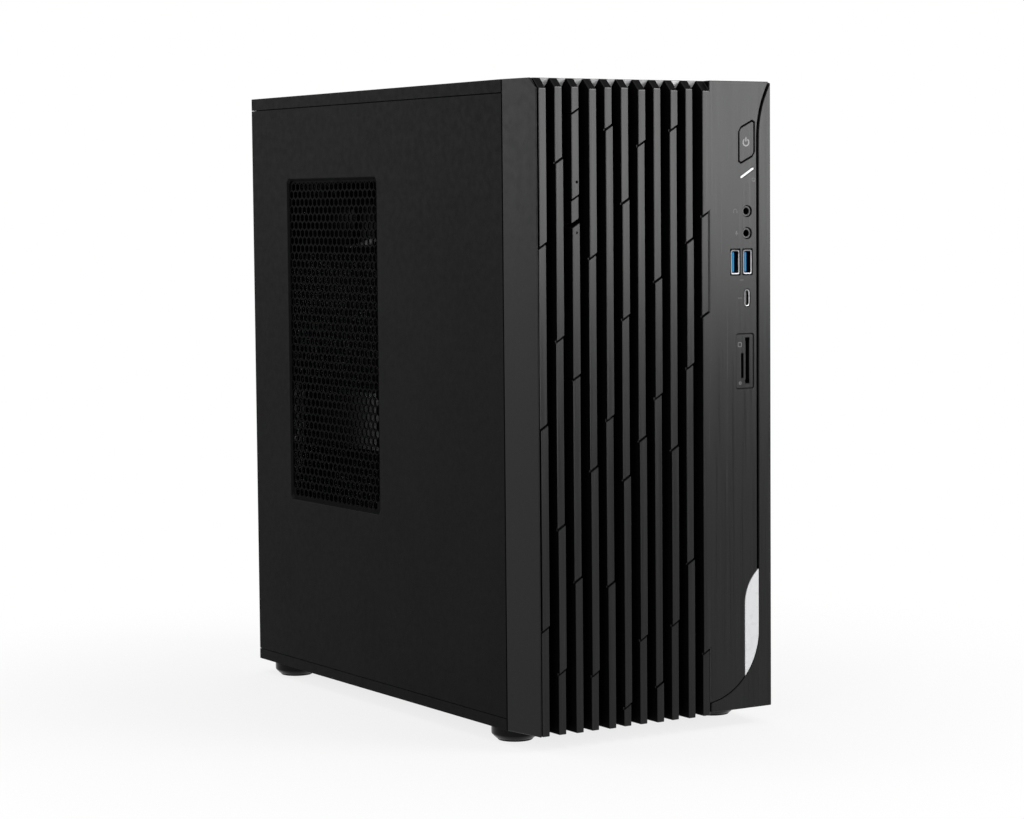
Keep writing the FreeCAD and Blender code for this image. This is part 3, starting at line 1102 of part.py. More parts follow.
def make_port_shield():
    """Thin plate that fills the board's window and leaves room round every socket."""
    g = SEAT_GAP
    y = (REAR_INNER + 0.1, REAR_OUTER)
    plate = block((SHIELD_LEFT + g, SHIELD_RIGHT - g), y, (SHIELD_LOW + g, SHIELD_HIGH - g))
    cuts = [block((BOARD_FACE - reach - g, BOARD_FACE + 0.5), (y[0] - 1, y[1] + 1),
                  (mid - w / 2 - g, mid + w / 2 + g))
            for mid, w, reach, _ in REAR_SOCKETS.values()]
    cuts.append(block((BOARD_FACE - 36 - g, BOARD_FACE + 0.5), (y[0] - 1, y[1] + 1),
                      (AUDIO_Z - 6.5 - g, AUDIO_Z + 6.5 + g)))
    return plate.cut(cuts)


# ---- power supply and storage ------------------------------------------------------------------------------
def psu_y():
    return (REAR_INNER - 0.1 - PSU_DEPTH, REAR_INNER - 0.1)


def psu_z():
    return (SHEET + PSU_LIFT, SHEET + PSU_LIFT + PSU_HEIGHT)


def make_psu_case():
    """Folded floor with its front and rear faces, and the folded cover that closes the top and sides."""
    x = (-PSU_WIDTH / 2, PSU_WIDTH / 2)
    y = psu_y()
    z = psu_z()
    t = PSU_WALL
    inside = (x[0] + t, x[1] - t)
    cover = join([block(x, y, (z[1] - t, z[1])), block((x[0], inside[0]), y, z),
                  block((inside[1], x[1]), y, z)])
    base = join([block(inside, y, (z[0], z[0] + t)), block(inside, (y[0], y[0] + t), (z[0], z[1] - t)),
                 block(inside, (y[1] - t, y[1]), (z[0], z[1] - t))])
    cuts = [drum(PSU_FAN_BORE, (0, sum(y) / 2, z[0] - 1), (0, 0, 1), t + 2, 32)]
    cuts.append(block((INLET_X - 13.9, INLET_X + 13.9), (y[1] - 3, y[1] + 1),
                      (INLET_Z - 10.2, INLET_Z + 10.2)))
    cuts.append(block((SWITCH_X - 7.4, SWITCH_X + 7.4), (y[1] - 3, y[1] + 1),
                      (INLET_Z - 10.6, INLET_Z + 10.6)))
    cuts += [block((-54 + 9 * i, -49 + 9 * i), (y[1] - 3, y[1] + 1), (z[0] + 8, z[1] - 8))
             for i in range(6)]
    cuts.append(block((-40, 10), (y[0] - 1, y[0] + 3), (z[1] - 26, z[1] - 10)))
    cuts += [screw_hole(px, y[1] - t, pz) for px, pz in psu_screw_places()]
    return Part.makeCompound([base.cut(cuts), cover])


def make_psu_guard():
    """Bar guard inside the intake, with the motor seat and its axle."""
    low = psu_z()[0] + PSU_WALL
    cy = sum(psu_y()) / 2
    reach = PSU_FAN_BORE + 3
    pieces = [drum(17.0, (0, cy, low), (0, 0, 1), 2.0, 16),
              Part.makeCylinder(AXLE_RADIUS, 10.0, Vector(0, cy, low))]
    pieces += [block((offset - 1, offset + 1), (cy - reach, cy + reach), (low, low + 2))
               for offset in (-26, 0, 26)]
    pieces += [block((-reach, reach), (cy - 1, cy + 1), (low, low + 2))]
    return join(pieces)


def make_inlet():
    """Mains inlet: flange, tapered socket shroud and three pins."""
    y1 = REAR_INNER - 0.1
    flange = ease_along_y(block((INLET_X - 15.0, INLET_X + 15.0), (y1 + 0.1, y1 + 2.4),
                                (INLET_Z - 12.0, INLET_Z + 12.0)), 2.5)
    body = block((INLET_X - 13.5, INLET_X + 13.5), (y1 - 20, y1 + 0.2), (INLET_Z - 9.8, INLET_Z + 9.8))
    w, h, c = 12.2, 8.2, 4.5
    outline = [(INLET_X - w, INLET_Z - h), (INLET_X + w, INLET_Z - h), (INLET_X + w, INLET_Z + h - c),
               (INLET_X + w - c, INLET_Z + h), (INLET_X - w + c, INLET_Z + h), (INLET_X - w,
                                                                                INLET_Z + h - c)]
    return join([flange, body]).cut(prism_y(outline, (y1 - 15.5, y1 + 4)))


def make_inlet_pins():
    y = (REAR_INNER - 15.6, REAR_INNER - 4.5)
    return Part.makeCompound([block((INLET_X + dx - 1, INLET_X + dx + 1), y,
                                    (INLET_Z + dz - 2, INLET_Z + dz + 2))
                              for dx, dz in ((-7, -2.0), (0, 2.0), (7, -2.0))])


def make_switch_frame():
    y1 = REAR_INNER - 0.1
    frame = block((SWITCH_X - 8.5, SWITCH_X + 8.5), (y1 + 0.1, y1 + 1.6), (INLET_Z - 12, INLET_Z + 12))
    body = block((SWITCH_X - 7.0, SWITCH_X + 7.0), (y1 - 14, y1 + 0.2), (INLET_Z - 10.2, INLET_Z + 10.2))
    pocket = block((SWITCH_X - 5.6, SWITCH_X + 5.6), (y1 - 9.5, y1 + 3), (INLET_Z - 8.9, INLET_Z + 8.9))
    half = ROCKER_PIN_HALF + MOVE_GAP / 2
    sockets = drum(ROCKER_PIN + ROCKER_PIN_GAP, (SWITCH_X - half, REAR_INNER - ROCKER_PIN_DEPTH, INLET_Z),
                   (1, 0, 0),
                   2 * half, 12)
    return join([frame, body]).cut([pocket, sockets])


def make_rocker():
    """Rocker pressed at its upper end, drawn about the pin at its middle."""
    r = 8.0
    pin = drum(ROCKER_PIN, (SWITCH_X - ROCKER_PIN_HALF, 0, 0), (1, 0, 0), 2 * ROCKER_PIN_HALF, 12)
    profile = [(-2.0, -r), (2.6, -r), (1.2, 0), (2.6, r), (-2.0, r), (-4.0, 0)]
    body = join([prism_x(profile, (SWITCH_X - 5.1, SWITCH_X + 5.1)), pin])
    body.rotate(Vector(0, 0, 0), Vector(1, 0, 0), 9)
    body.translate(Vector(0, REAR_INNER - ROCKER_PIN_DEPTH, INLET_Z))
    return body


def make_hard_drive():
    """Three-and-a-half-inch drive lying flat, with a raised lid inside its rim."""
    x = (-HD_WIDTH / 2, HD_WIDTH / 2)
    y = (WALL_BACK + 4.0, WALL_BACK + 4.0 + HD_LENGTH)
    z = (SHEET + 3.6, SHEET + 3.6 + HD_THICK)
    body = block(x, y, (z[0], z[1] - 1))
    lid = block((x[0] + 2, x[1] - 2), (y[0] + 2, y[1] - 2), (z[1] - 1.5, z[1]))
    waist = [block((s * 62 - 13, s * 62 + 13), (y[0] + 30, y[1] - 30), (z[0] + 8, z[1] - 8))
             for s in (-1, 1)]
    return join([body, lid]).cut(waist)


def make_drive_cage():
    """Open tray that holds the hard drive by its long sides."""
    y = (WALL_BACK + 3.0, WALL_BACK + 5.0 + HD_LENGTH)
    side = HD_WIDTH / 2 + 0.2
    floor = block((-side - SHEET, side + SHEET), y, (SHEET, 2 * SHEET))
    walls = [block(sorted((s * side, s * (side + SHEET))), y, (SHEET, SHEET + 24)) for s in (-1, 1)]
    rails = [block(sorted((s * (side - 8), s * side)), y, (SHEET, SHEET + 3.6)) for s in (-1, 1)]
    holes = [block((-36 + 26 * i, -16 + 26 * i), (y[0] + 14, y[1] - 14), (0, 3)) for i in range(3)]
    return join([floor] + walls + rails).cut(holes)


def make_optical_bracket():
    """Steel shelf that hangs the optical drive from the top panel and the front wall."""
    low, high = drive_z()
    x = (DRIVE_X + DRIVE_THICK / 2 + 0.3, DRIVE_X + DRIVE_THICK / 2 + 1.1)
    y = (WALL_BACK + 3.0, WALL_BACK + 110)
    side = block(x, y, (low + 8, TOP - SHEET - 0.4))
    fold = block((x[0], x[0] + 14), y, (TOP - SHEET - 1.2, TOP - SHEET - 0.4))
    windows = [block((x[0] - 1, x[1] + 1), (y[0] + 12 + 34 * i, y[0] + 38 + 34 * i), (low + 22, high - 22))
               for i in range(3)]
    return join([side, fold]).cut(windows)


# ---- assembly -------------------------------------------------------------------------------------------
def build():
    save("base_pan", make_base_pan())
    save("top_panel", make_top_panel())
    save("left_panel", make_left_panel())
    save("right_panel", make_right_panel())
    save("rear_panel", make_rear_panel())
    save("front_wall", make_front_wall())
    save("motherboard_tray", make_motherboard_tray())
    save("panel_thumbscrews", Part.makeCompound([thumbscrew(h) for h in THUMB_HEIGHTS]))
    save("feet", Part.makeCompound([make_foot(place) for place in foot_places()]))
    save("foot_pads", Part.makeCompound([make_foot_pad(place) for place in foot_places()]))
    save("case_screws", make_case_screws())

    save("front_bezel", make_front_bezel())
    save("rib_panel", make_rib_panel())
    save("badge_plate", make_badge())
    save("power_button", make_power_button())
    save("power_switch", make_power_switch())
    save("light_bar", make_light_bar())
    save("audio_jacks", Part.makeCompound([make_jack(height) for height in JACK_HEIGHTS]))
    shell, tongue = make_usb_c()
    save("usb_shells", Part.makeCompound([make_usb_shell(x) for x in USB_A_CENTRES] + [shell]))
    save("usb_tongues", Part.makeCompound([make_usb_tongue(x) for x in USB_A_CENTRES] + [tongue]))
    save("card_reader", make_card_reader())
    save("front_port_board", make_port_board())

    save("drive_case", make_drive_case())
    tray, middle, x = make_drive_tray()
    save("disc_tray", tray)
    save("drive_door", make_drive_door())
    save("eject_button", make_eject_button())
    save("disc_spindle", make_spindle(middle, x))
    save("laser_sled", make_sled(middle, x))
    save("optical_bracket", make_optical_bracket())

    cx, cz = rear_fan_place()
    y_fan = REAR_INNER - 0.2 - REAR_FAN[1]
    frame = aim(fan_frame(*REAR_FAN), (0, 1, 0), (cx, y_fan, cz))
    bores = [screw_hole(px, REAR_INNER - SCREW_LENGTH, pz, SCREW_LENGTH + SHEET)
             for px, pz in fan_screw_places()]
    save("rear_fan_frame", frame.cut(bores))
    save("rear_fan_rotor", aim(fan_rotor(REAR_FAN[2], REAR_FAN[3], REAR_FAN[1], 7, 21.0), (0, 1, 0),
                               (cx, y_fan, cz)))

    save("motherboard", make_motherboard())
    save("board_blocks", make_board_blocks())
    save("board_standoffs", make_standoffs())
    save("board_slots", Part.makeCompound(card_connectors() + memory_connectors()))
    save("memory_sticks", Part.makeCompound([make_memory_stick(memory_y()[n]) for n in (1, 3)]))
    heatsink, fan_x = make_cooler()
    cy, cz = cooler_place()
    save("cooler_heatsink", heatsink)
    place = (fan_x - COOLER_FAN[1] - 0.1, cy, cz)
    save("cooler_fan_frame", aim(fan_frame(*COOLER_FAN), (1, 0, 0), place))
    save("cooler_fan_rotor", aim(fan_rotor(COOLER_FAN[2], COOLER_FAN[3], COOLER_FAN[1], 7, 24.0), (1, 0, 0),
                                 place))
    card, card_fan = make_card()
    for name, solid in card.items():
        save(name, solid)
    rotor = fan_rotor(CARD_FAN_RADIUS, CARD_FAN_HUB, 14.0, 8, 16.0, 25.0, 0)
    save("graphics_fan_rotor", aim(rotor, (0, 0, 1), card_fan))
    save("slot_covers", make_slot_covers())
    save("port_shield", make_port_shield())
    sockets = {name: make_rear_socket(data) for name, data in REAR_SOCKETS.items()}
    save("rear_usb_sockets", Part.makeCompound([sockets["usb_high"], sockets["usb_low"]]))
    save("rear_video_sockets", sockets["video"])
    save("rear_network_sockets", sockets["network"])
    save("rear_audio_sockets", make_audio_sockets())

    save("psu_case", make_psu_case())
    save("psu_guard", make_psu_guard())
    rotor = fan_rotor(PSU_FAN_BORE, 16.0, 20.0, 7, 21.0, 35.0, 0)
    top = psu_z()[0] + PSU_WALL + 2.0 + 18.0
    save("psu_fan_rotor", aim(rotor, (0, 0, -1), (0, sum(psu_y()) / 2, top)))
    save("mains_inlet", make_inlet())
    save("mains_pins", make_inlet_pins())
    save("mains_switch_frame", make_switch_frame())
    save("mains_switch_rocker", make_rocker())
    save("hard_drive", make_hard_drive())
    save("hard_drive_cage", make_drive_cage())


build()
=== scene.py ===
import json
import math
import random

import bmesh
import bpy
from mathutils import Matrix, Vector

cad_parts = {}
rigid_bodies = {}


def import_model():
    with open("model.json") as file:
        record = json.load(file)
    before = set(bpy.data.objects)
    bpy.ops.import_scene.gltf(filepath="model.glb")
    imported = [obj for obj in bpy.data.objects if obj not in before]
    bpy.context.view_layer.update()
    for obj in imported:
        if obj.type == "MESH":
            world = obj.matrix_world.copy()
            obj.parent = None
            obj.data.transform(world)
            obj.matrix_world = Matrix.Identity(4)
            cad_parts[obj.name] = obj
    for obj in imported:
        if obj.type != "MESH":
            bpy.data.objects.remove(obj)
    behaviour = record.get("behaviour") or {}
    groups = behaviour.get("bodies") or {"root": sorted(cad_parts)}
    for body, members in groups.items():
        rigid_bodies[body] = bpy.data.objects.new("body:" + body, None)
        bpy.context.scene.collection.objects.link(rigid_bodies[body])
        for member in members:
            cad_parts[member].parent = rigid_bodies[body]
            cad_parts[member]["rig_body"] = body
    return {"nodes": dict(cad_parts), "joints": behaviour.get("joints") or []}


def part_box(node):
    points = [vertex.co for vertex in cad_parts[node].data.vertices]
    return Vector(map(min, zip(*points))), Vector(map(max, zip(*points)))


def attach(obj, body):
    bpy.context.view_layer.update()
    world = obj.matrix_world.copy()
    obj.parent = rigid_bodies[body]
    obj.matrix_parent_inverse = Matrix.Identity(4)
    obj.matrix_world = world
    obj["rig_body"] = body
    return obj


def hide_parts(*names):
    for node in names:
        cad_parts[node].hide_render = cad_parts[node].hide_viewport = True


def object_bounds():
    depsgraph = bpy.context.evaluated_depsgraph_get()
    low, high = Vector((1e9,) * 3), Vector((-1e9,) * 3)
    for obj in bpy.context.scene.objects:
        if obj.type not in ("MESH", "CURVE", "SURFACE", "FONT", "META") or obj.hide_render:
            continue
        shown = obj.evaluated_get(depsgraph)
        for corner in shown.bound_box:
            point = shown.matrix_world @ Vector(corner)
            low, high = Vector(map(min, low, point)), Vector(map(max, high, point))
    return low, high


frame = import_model()
CAD_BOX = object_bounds()
MM = 0.001                   # lengths below are in millimetres unless they say metres
X, Y, Z = Matrix.Identity(3)


def place(thing):
    bpy.context.scene.collection.objects.link(thing)


def fill(node, **values):
    """Sets sockets and properties of a node; From_Min is the socket From Min."""
    for key, value in values.items():
        socket = key.replace("_", " ")
        if socket in node.inputs:
            node.inputs[socket].default_value = value
        else:
            setattr(node, key, value)
    return node


def add_node(tree, kind, **values):
    return fill(tree.nodes.new(kind), **values)


# ---- materials ----
NOISE_LOW, NOISE_HIGH = 0.3, 0.7     # a noise texture mostly lies between these
TONE_SCALE, GLOSS_SCALE = 18.0, 240.0    # noise scales, in cycles per metre
HAIR_SCALE, BAND_SCALE = 2600.0, 700.0
HELD = 0.012                 # frequency along a brushed line, as a share of that across it
HAIR_DEPTH = 0.00003         # metres


class Shader:
    """A Principled material that is built up node by node."""

    def __init__(self, name, color, roughness, metallic, specular):
        self.material = bpy.data.materials.new(name)
        self.material.use_nodes = True
        self.tree = self.material.node_tree
        self.color = color
        self.roughness = roughness
        self.bsdf = fill(self.tree.nodes["Principled BSDF"], Base_Color=(*color, 1.0), Roughness=roughness,
                         Metallic=metallic, Specular_IOR_Level=specular)

    def node(self, kind, **values):
        return add_node(self.tree, kind, **values)

    def link(self, source, target):
        self.tree.links.new(source, target)

    def noise(self, scale, stretch=(1, 1, 1), detail=3.0, rough=0.5):
        """Noise value in object space; stretch multiplies the frequency along each axis."""
        coord = self.node("ShaderNodeTexCoord")
        mapping = self.node("ShaderNodeMapping", Scale=stretch)
        noise = self.node("ShaderNodeTexNoise", Scale=scale, Detail=detail, Roughness=rough)
        self.link(coord.outputs["Object"], mapping.inputs["Vector"])
        self.link(mapping.outputs["Vector"], noise.inputs["Vector"])
        return noise.outputs["Fac"]

    def spread(self, value, low, high):
        """Maps a noise value to the range low..high."""
        remap = self.node("ShaderNodeMapRange", From_Min=NOISE_LOW, From_Max=NOISE_HIGH, To_Min=low,
                          To_Max=high)
        self.link(value, remap.inputs["Value"])
        return remap.outputs["Result"]

    def mean(self, first, second):
        mix = self.node("ShaderNodeMix", data_type="FLOAT")
        mix.inputs[0].default_value = 0.5
        self.link(first, mix.inputs[2])
        self.link(second, mix.inputs[3])
        return mix.outputs[0]

    def vary_color(self, value, amount):
        """Lightens and darkens the base colour by the amount, following the value."""
        mix = self.node("ShaderNodeMix", data_type="RGBA")
        mix.inputs[6].default_value = (*[c * (1 - amount) for c in self.color], 1.0)
        mix.inputs[7].default_value = (*[min(1.0, c * (1 + amount)) for c in self.color], 1.0)
        self.link(self.spread(value, 0.0, 1.0), mix.inputs[0])
        self.link(mix.outputs[2], self.bsdf.inputs["Base Color"])

    def vary_roughness(self, value, amount):
        varied = self.spread(value, self.roughness - amount, self.roughness + amount)
        self.link(varied, self.bsdf.inputs["Roughness"])

    def bump(self, value, strength, distance):
        made = self.node("ShaderNodeBump", Strength=strength, Distance=distance)
        self.link(value, made.inputs["Height"])
        self.link(made.outputs["Normal"], self.bsdf.inputs["Normal"])


def grained(name, color, roughness, specular=0.5, metallic=0.0, grain=1400.0, depth=0.00004, vary=0.12):
    """Moulded plastic or powder coat: fine even grain, slight tone changes over the surface."""
    shader = Shader(name, color, roughness, metallic, specular)
    fine = shader.noise(grain, detail=2.0)
    broad = shader.noise(TONE_SCALE, detail=4.0)
    shader.vary_color(shader.mean(broad, shader.noise(grain * 0.3, detail=2.0)), vary)
    shader.vary_roughness(shader.noise(GLOSS_SCALE), 0.05)
    shader.bump(fine, 0.35, depth)
    return shader.material


def brushed(name, color, roughness, along="z", metallic=0.0, specular=0.5, vary=0.2, swing=0.09):
    """Straight brushed finish: hair lines and broader bands run along one axis."""
    shader = Shader(name, color, roughness, metallic, specular)
    stretch = [HELD if axis == along else 1 for axis in "xyz"]
    hairs = shader.noise(HAIR_SCALE, stretch, rough=0.6)
    streaks = shader.mean(hairs, shader.noise(BAND_SCALE, stretch, detail=2.0))
    shader.vary_color(streaks, vary)
    shader.vary_roughness(streaks, swing)
    shader.bump(hairs, 0.25, HAIR_DEPTH)
    return shader.material


MATERIALS = {
    "shell": grained("shell_powder_coat", (0.0055, 0.0055, 0.0058), 0.5, specular=0.02, grain=2200.0,
                     vary=0.28),
    "bezel": grained("bezel_moulding", (0.0058, 0.0058, 0.0061), 0.42, specular=0.14, vary=0.2),
    "ribs": brushed("rib_brushed_finish", (0.0068, 0.0068, 0.0071), 0.23, specular=0.18, vary=0.3,
                    swing=0.06),
    # painted light: a much lighter copy of the rib plastic on the port strip's side wall, so the shade on
    # that wall does not show
    "rib_wall": grained("rib_wall_painted_light", (0.130, 0.130, 0.134), 0.45, specular=0.1),
    # painted shade: a blacker, almost unreflective copy of the rib plastic stands in for the shade inside
    # the grooves
    "groove": grained("groove_painted_shade", (0.0025, 0.0025, 0.0026), 0.55, specular=0.015),
    # painted shade: a darker, almost unreflective copy of the rib plastic stands in for the shade on the
    # sloped rib tops
    "rib_top": grained("rib_top_painted_shade", (0.004, 0.004, 0.0041), 0.5, specular=0.02),
    # painted highlight: a light grey on the ramps under the ridge stands in for the light they catch from
    # above
    "ramp": brushed("ramp_painted_highlight", (0.66, 0.66, 0.67), 0.45, "x", specular=0.4, vary=0.06),
    "badge": grained("badge_satin_white", (0.545, 0.55, 0.56), 0.3, vary=0.02),
    "light": grained("light_frosted", (0.72, 0.74, 0.76), 0.35, vary=0.02),
    "mark": grained("mark_print", (0.3, 0.3, 0.31), 0.5, specular=0.2, vary=0.05),
    "mark_dim": grained("mark_print_dim", (0.085, 0.085, 0.088), 0.25, specular=0.18, vary=0.05),
    "mark_mid": grained("mark_print_mid", (0.17, 0.17, 0.175), 0.35, specular=0.18, vary=0.05),
    "black": grained("socket_black", (0.010, 0.010, 0.011), 0.42),
    # black plastic inside sockets, bores and reader mouths, with painted shade: a blacker, almost
    # unreflective copy of the socket black
    "dark": grained("socket_inside_black_and_painted_shade", (0.002, 0.002, 0.002), 0.6, specular=0.05),
    "fan": grained("fan_plastic", (0.008, 0.008, 0.0085), 0.45, specular=0.15),
    "steel": brushed("socket_steel", (0.55, 0.55, 0.56), 0.3, "y", metallic=1.0, vary=0.08),
    # painted shade: a darker copy of the socket steel that dims the reflections on the USB-A shells
    "lip": brushed("socket_lip_steel_painted_shade", (0.17, 0.17, 0.175), 0.34, "y", metallic=1.0, vary=0.1),
    # painted shade: a darker, less glossy copy of the cover's coat on the vent sheet and on the slopes
    # round it
    "mesh": grained("vent_coat_painted_shade", (0.0026, 0.0026, 0.0027), 0.5, specular=0.008, grain=2200.0,
                    vary=0.28),
    "zinc": grained("zinc_sheet", (0.46, 0.47, 0.48), 0.38, metallic=1.0, grain=300.0, vary=0.1),
    "plate": brushed("plate_brushed_zinc", (0.50, 0.505, 0.515), 0.32, "z", metallic=1.0, vary=0.1),
    "screw": brushed("screw_black_zinc", (0.12, 0.12, 0.125), 0.32, "y", metallic=1.0),
    "blue": grained("tongue_blue", (0.012, 0.21, 0.43), 0.45, specular=0.03, vary=0.05),
    # painted shade: a darker copy of the tongue blue on the tongue's sides and rim
    "blue_painted_shade": grained("tongue_blue_painted_shade", (0.003, 0.045, 0.15), 0.45, specular=0.02, vary=0.05),
    "board": grained("board_solder_mask", (0.008, 0.014, 0.012), 0.36, grain=500.0),
    "fins": brushed("heatsink_aluminium", (0.66, 0.67, 0.68), 0.34, "y", metallic=1.0, vary=0.06),
    "brass": grained("standoff_brass", (0.62, 0.44, 0.18), 0.3, metallic=1.0),
    "psu": grained("psu_coat", (0.035, 0.035, 0.037), 0.45, grain=1600.0),
    "drive": grained("drive_casting", (0.42, 0.43, 0.44), 0.36, metallic=1.0, grain=700.0),
    "rubber": grained("foot_rubber", (0.012, 0.012, 0.012), 0.75, specular=0.2),
    "foot": grained("foot_plastic", (0.003, 0.003, 0.0031), 0.22, specular=0.1, grain=900.0,
                    depth=0.00001),
    "coil": grained("coil_ferrite", (0.06, 0.06, 0.062), 0.5, vary=0.2),
    "ceramic": grained("component_ceramic", (0.22, 0.15, 0.09), 0.5, vary=0.3),
    "jack_azure": grained("jack_ring_azure", (0.06, 0.30, 0.55), 0.4, vary=0.05),
    "jack_lime": grained("jack_ring_lime", (0.22, 0.48, 0.08), 0.4, vary=0.05),
    "jack_rose": grained("jack_ring_rose", (0.60, 0.18, 0.26), 0.4, vary=0.05),
}


# ---- forms ----
MERGE = 0.000004             # metres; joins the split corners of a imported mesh
SHARP = math.radians(30.0)   # edges over this angle are rounded
stood_for = set()            # CAD nodes that a finished piece stands for


def shape_of(node):
    """A CAD node's mesh with its split corners joined."""
    shape = bmesh.new()
    shape.from_mesh(frame["nodes"][node].data)
    bmesh.ops.remove_doubles(shape, verts=shape.verts, dist=MERGE)
    return shape


def corners(node):
    """Lowest and highest corner of a CAD node, in millimetres."""
    low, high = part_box(node)
    return low / MM, high / MM


def middle(low, high):
    return (low + high) / 2


def solids_of(node):
    """Lowest and highest corner of each separate solid of a CAD node, in millimetres."""
    shape = shape_of(node)
    left = set(shape.verts)
    found = []
    while left:
        group = [left.pop()]
        for vert in group:
            for edge in vert.link_edges:
                other = edge.other_vert(vert)
                if other in left:
                    left.remove(other)
                    group.append(other)
        found.append((Vector([min(v.co[i] for v in group) for i in range(3)]) / MM,
                      Vector([max(v.co[i] for v in group) for i in range(3)]) / MM))
    shape.free()
    return sorted(found, key=lambda pair: tuple(round(c, 3) for c in pair[0]))


def joint_place(name):
    """Where a joint's axis lies, in millimetres."""
    return Vector(next(joint for joint in frame["joints"] if joint["name"] == name)["pos_m"]) / MM


def circle(radius, steps=32, centre=(0.0, 0.0), start=0.0):
    return [(centre[0] + radius * math.cos(start + 2 * math.pi * k / steps),
             centre[1] + radius * math.sin(start + 2 * math.pi * k / steps)) for k in range(steps)]


def hexagon(radius, centre):
    """Six corners, with two sides upright."""
    return circle(radius, 6, centre, math.pi / 6)


def rounded(width, height, radius, steps=4, centre=(0.0, 0.0)):
    """Rectangle with rounded corners."""
    points = []
    for index, (a, b) in enumerate(((1, 1), (-1, 1), (-1, -1), (1, -1))):
        for k in range(steps + 1):
            turn = math.pi / 2 * (index + k / steps)
            u = a * (width / 2 - radius) + radius * math.cos(turn)
            v = b * (height / 2 - radius) + radius * math.sin(turn)
            points.append((centre[0] + u, centre[1] + v))
    return points


def arc_band(inner, outer, begin, end, steps, centre=(0.0, 0.0)):
    """Outline of a curved band between two angles in degrees."""
    turns = [math.radians(begin + (end - begin) * k / steps) for k in range(steps + 1)]
    return [(centre[0] + outer * math.cos(t), centre[1] + outer * math.sin(t)) for t in turns] + \
           [(centre[0] + inner * math.cos(t), centre[1] + inner * math.sin(t)) for t in reversed(turns)]


def polar(reach, steps):
    """Outline from its distance at each angle."""
    turns = [2 * math.pi * k / steps for k in range(steps)]
    return [(reach(t) * math.cos(t), reach(t) * math.sin(t)) for t in turns]


# across, along and depth axes of a surface that faces that way; depth goes in, and for "up" it rises
AXES = {
    "front": (X, Z, Y),
    "rear": (X, Z, -Y),
    "left": (Y, Z, X),
    "up": (X, Y, Z),
}


class Form:
    """Forms made from stacked outlines, in millimetres; each outline lies across the depth axis w."""

    def __init__(self, axes="front", origin=(0, 0, 0)):
        self.shape = bmesh.new()
        self.aim(axes, origin)

    def aim(self, axes, origin):
        """Puts what follows at an origin, along AXES or others."""
        self.u, self.v, self.w = AXES[axes] if isinstance(axes, str) else axes
        self.origin = Vector(origin)

    def point(self, a, b, depth):
        return self.shape.verts.new((self.origin + self.u * a + self.v * b + self.w * depth) * MM)

    def ring(self, outline, depth):
        return [self.point(a, b, depth) for a, b in outline]

    def strip(self, first, second, slot):
        for k in range(len(first)):
            after = (k + 1) % len(first)
            self.shape.faces.new((first[k], first[after], second[after], second[k])).material_index = slot

    def loft(self, layers, closed=False, slots=None, caps=True):
        """Bridges outlines given as (outline, depth); a closed loft joins the last to the first."""
        rings = [self.ring(outline, depth) for outline, depth in layers]
        slots = slots or [0] * (len(rings) + 1)
        for k in range(len(rings) - 1):
            self.strip(rings[k], rings[k + 1], slots[k])
        if closed:
            self.strip(rings[-1], rings[0], slots[-1])
        elif caps:
            self.shape.faces.new(rings[0]).material_index = slots[0]
            self.shape.faces.new(list(reversed(rings[-1]))).material_index = slots[-1]

    def prism(self, outline, near, far, slot=0):
        self.loft([(outline, near), (outline, far)], slots=[slot] * 3)

    def frame(self, outer, inner, near, far):
        self.loft([(outer, near), (outer, far), (inner, far), (inner, near)], closed=True)

    def turned(self, profile, steps=32, centre=(0.0, 0.0), **options):
        """Round form through (radius, depth) pairs."""
        self.loft([(circle(radius, steps, centre), depth) for radius, depth in profile], **options)

    def block(self, low, high, slot=0):
        """Box between two corners given along u, v and w."""
        outline = [(low[0], low[1]), (high[0], low[1]), (high[0], high[1]), (low[0], high[1])]
        self.prism(outline, low[2], high[2], slot)

    def finish(self, name, body, materials, node=None, smooth=32.0):
        """Makes the piece; faces that meet below the smooth angle, in degrees, shade as one."""
        bmesh.ops.recalc_face_normals(self.shape, faces=self.shape.faces)
        mesh = bpy.data.meshes.new(name)
        self.shape.to_mesh(mesh)
        self.shape.free()
        if smooth:
            mesh.shade_smooth()
            mesh.set_sharp_from_angle(angle=math.radians(smooth))
        add_piece(name, mesh, body, materials, node)


def add_piece(name, mesh, body, materials, node=None):
    """Adds a piece on a body with its finishes; it may stand for a CAD node."""
    piece = bpy.data.objects.new(name, mesh)
    place(piece)
    names = [materials] if isinstance(materials, str) else materials
    for material in names:
        mesh.materials.append(MATERIALS[material])
    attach(piece, body)
    if node:
        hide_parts(node)
        stood_for.add(node)
    return piece


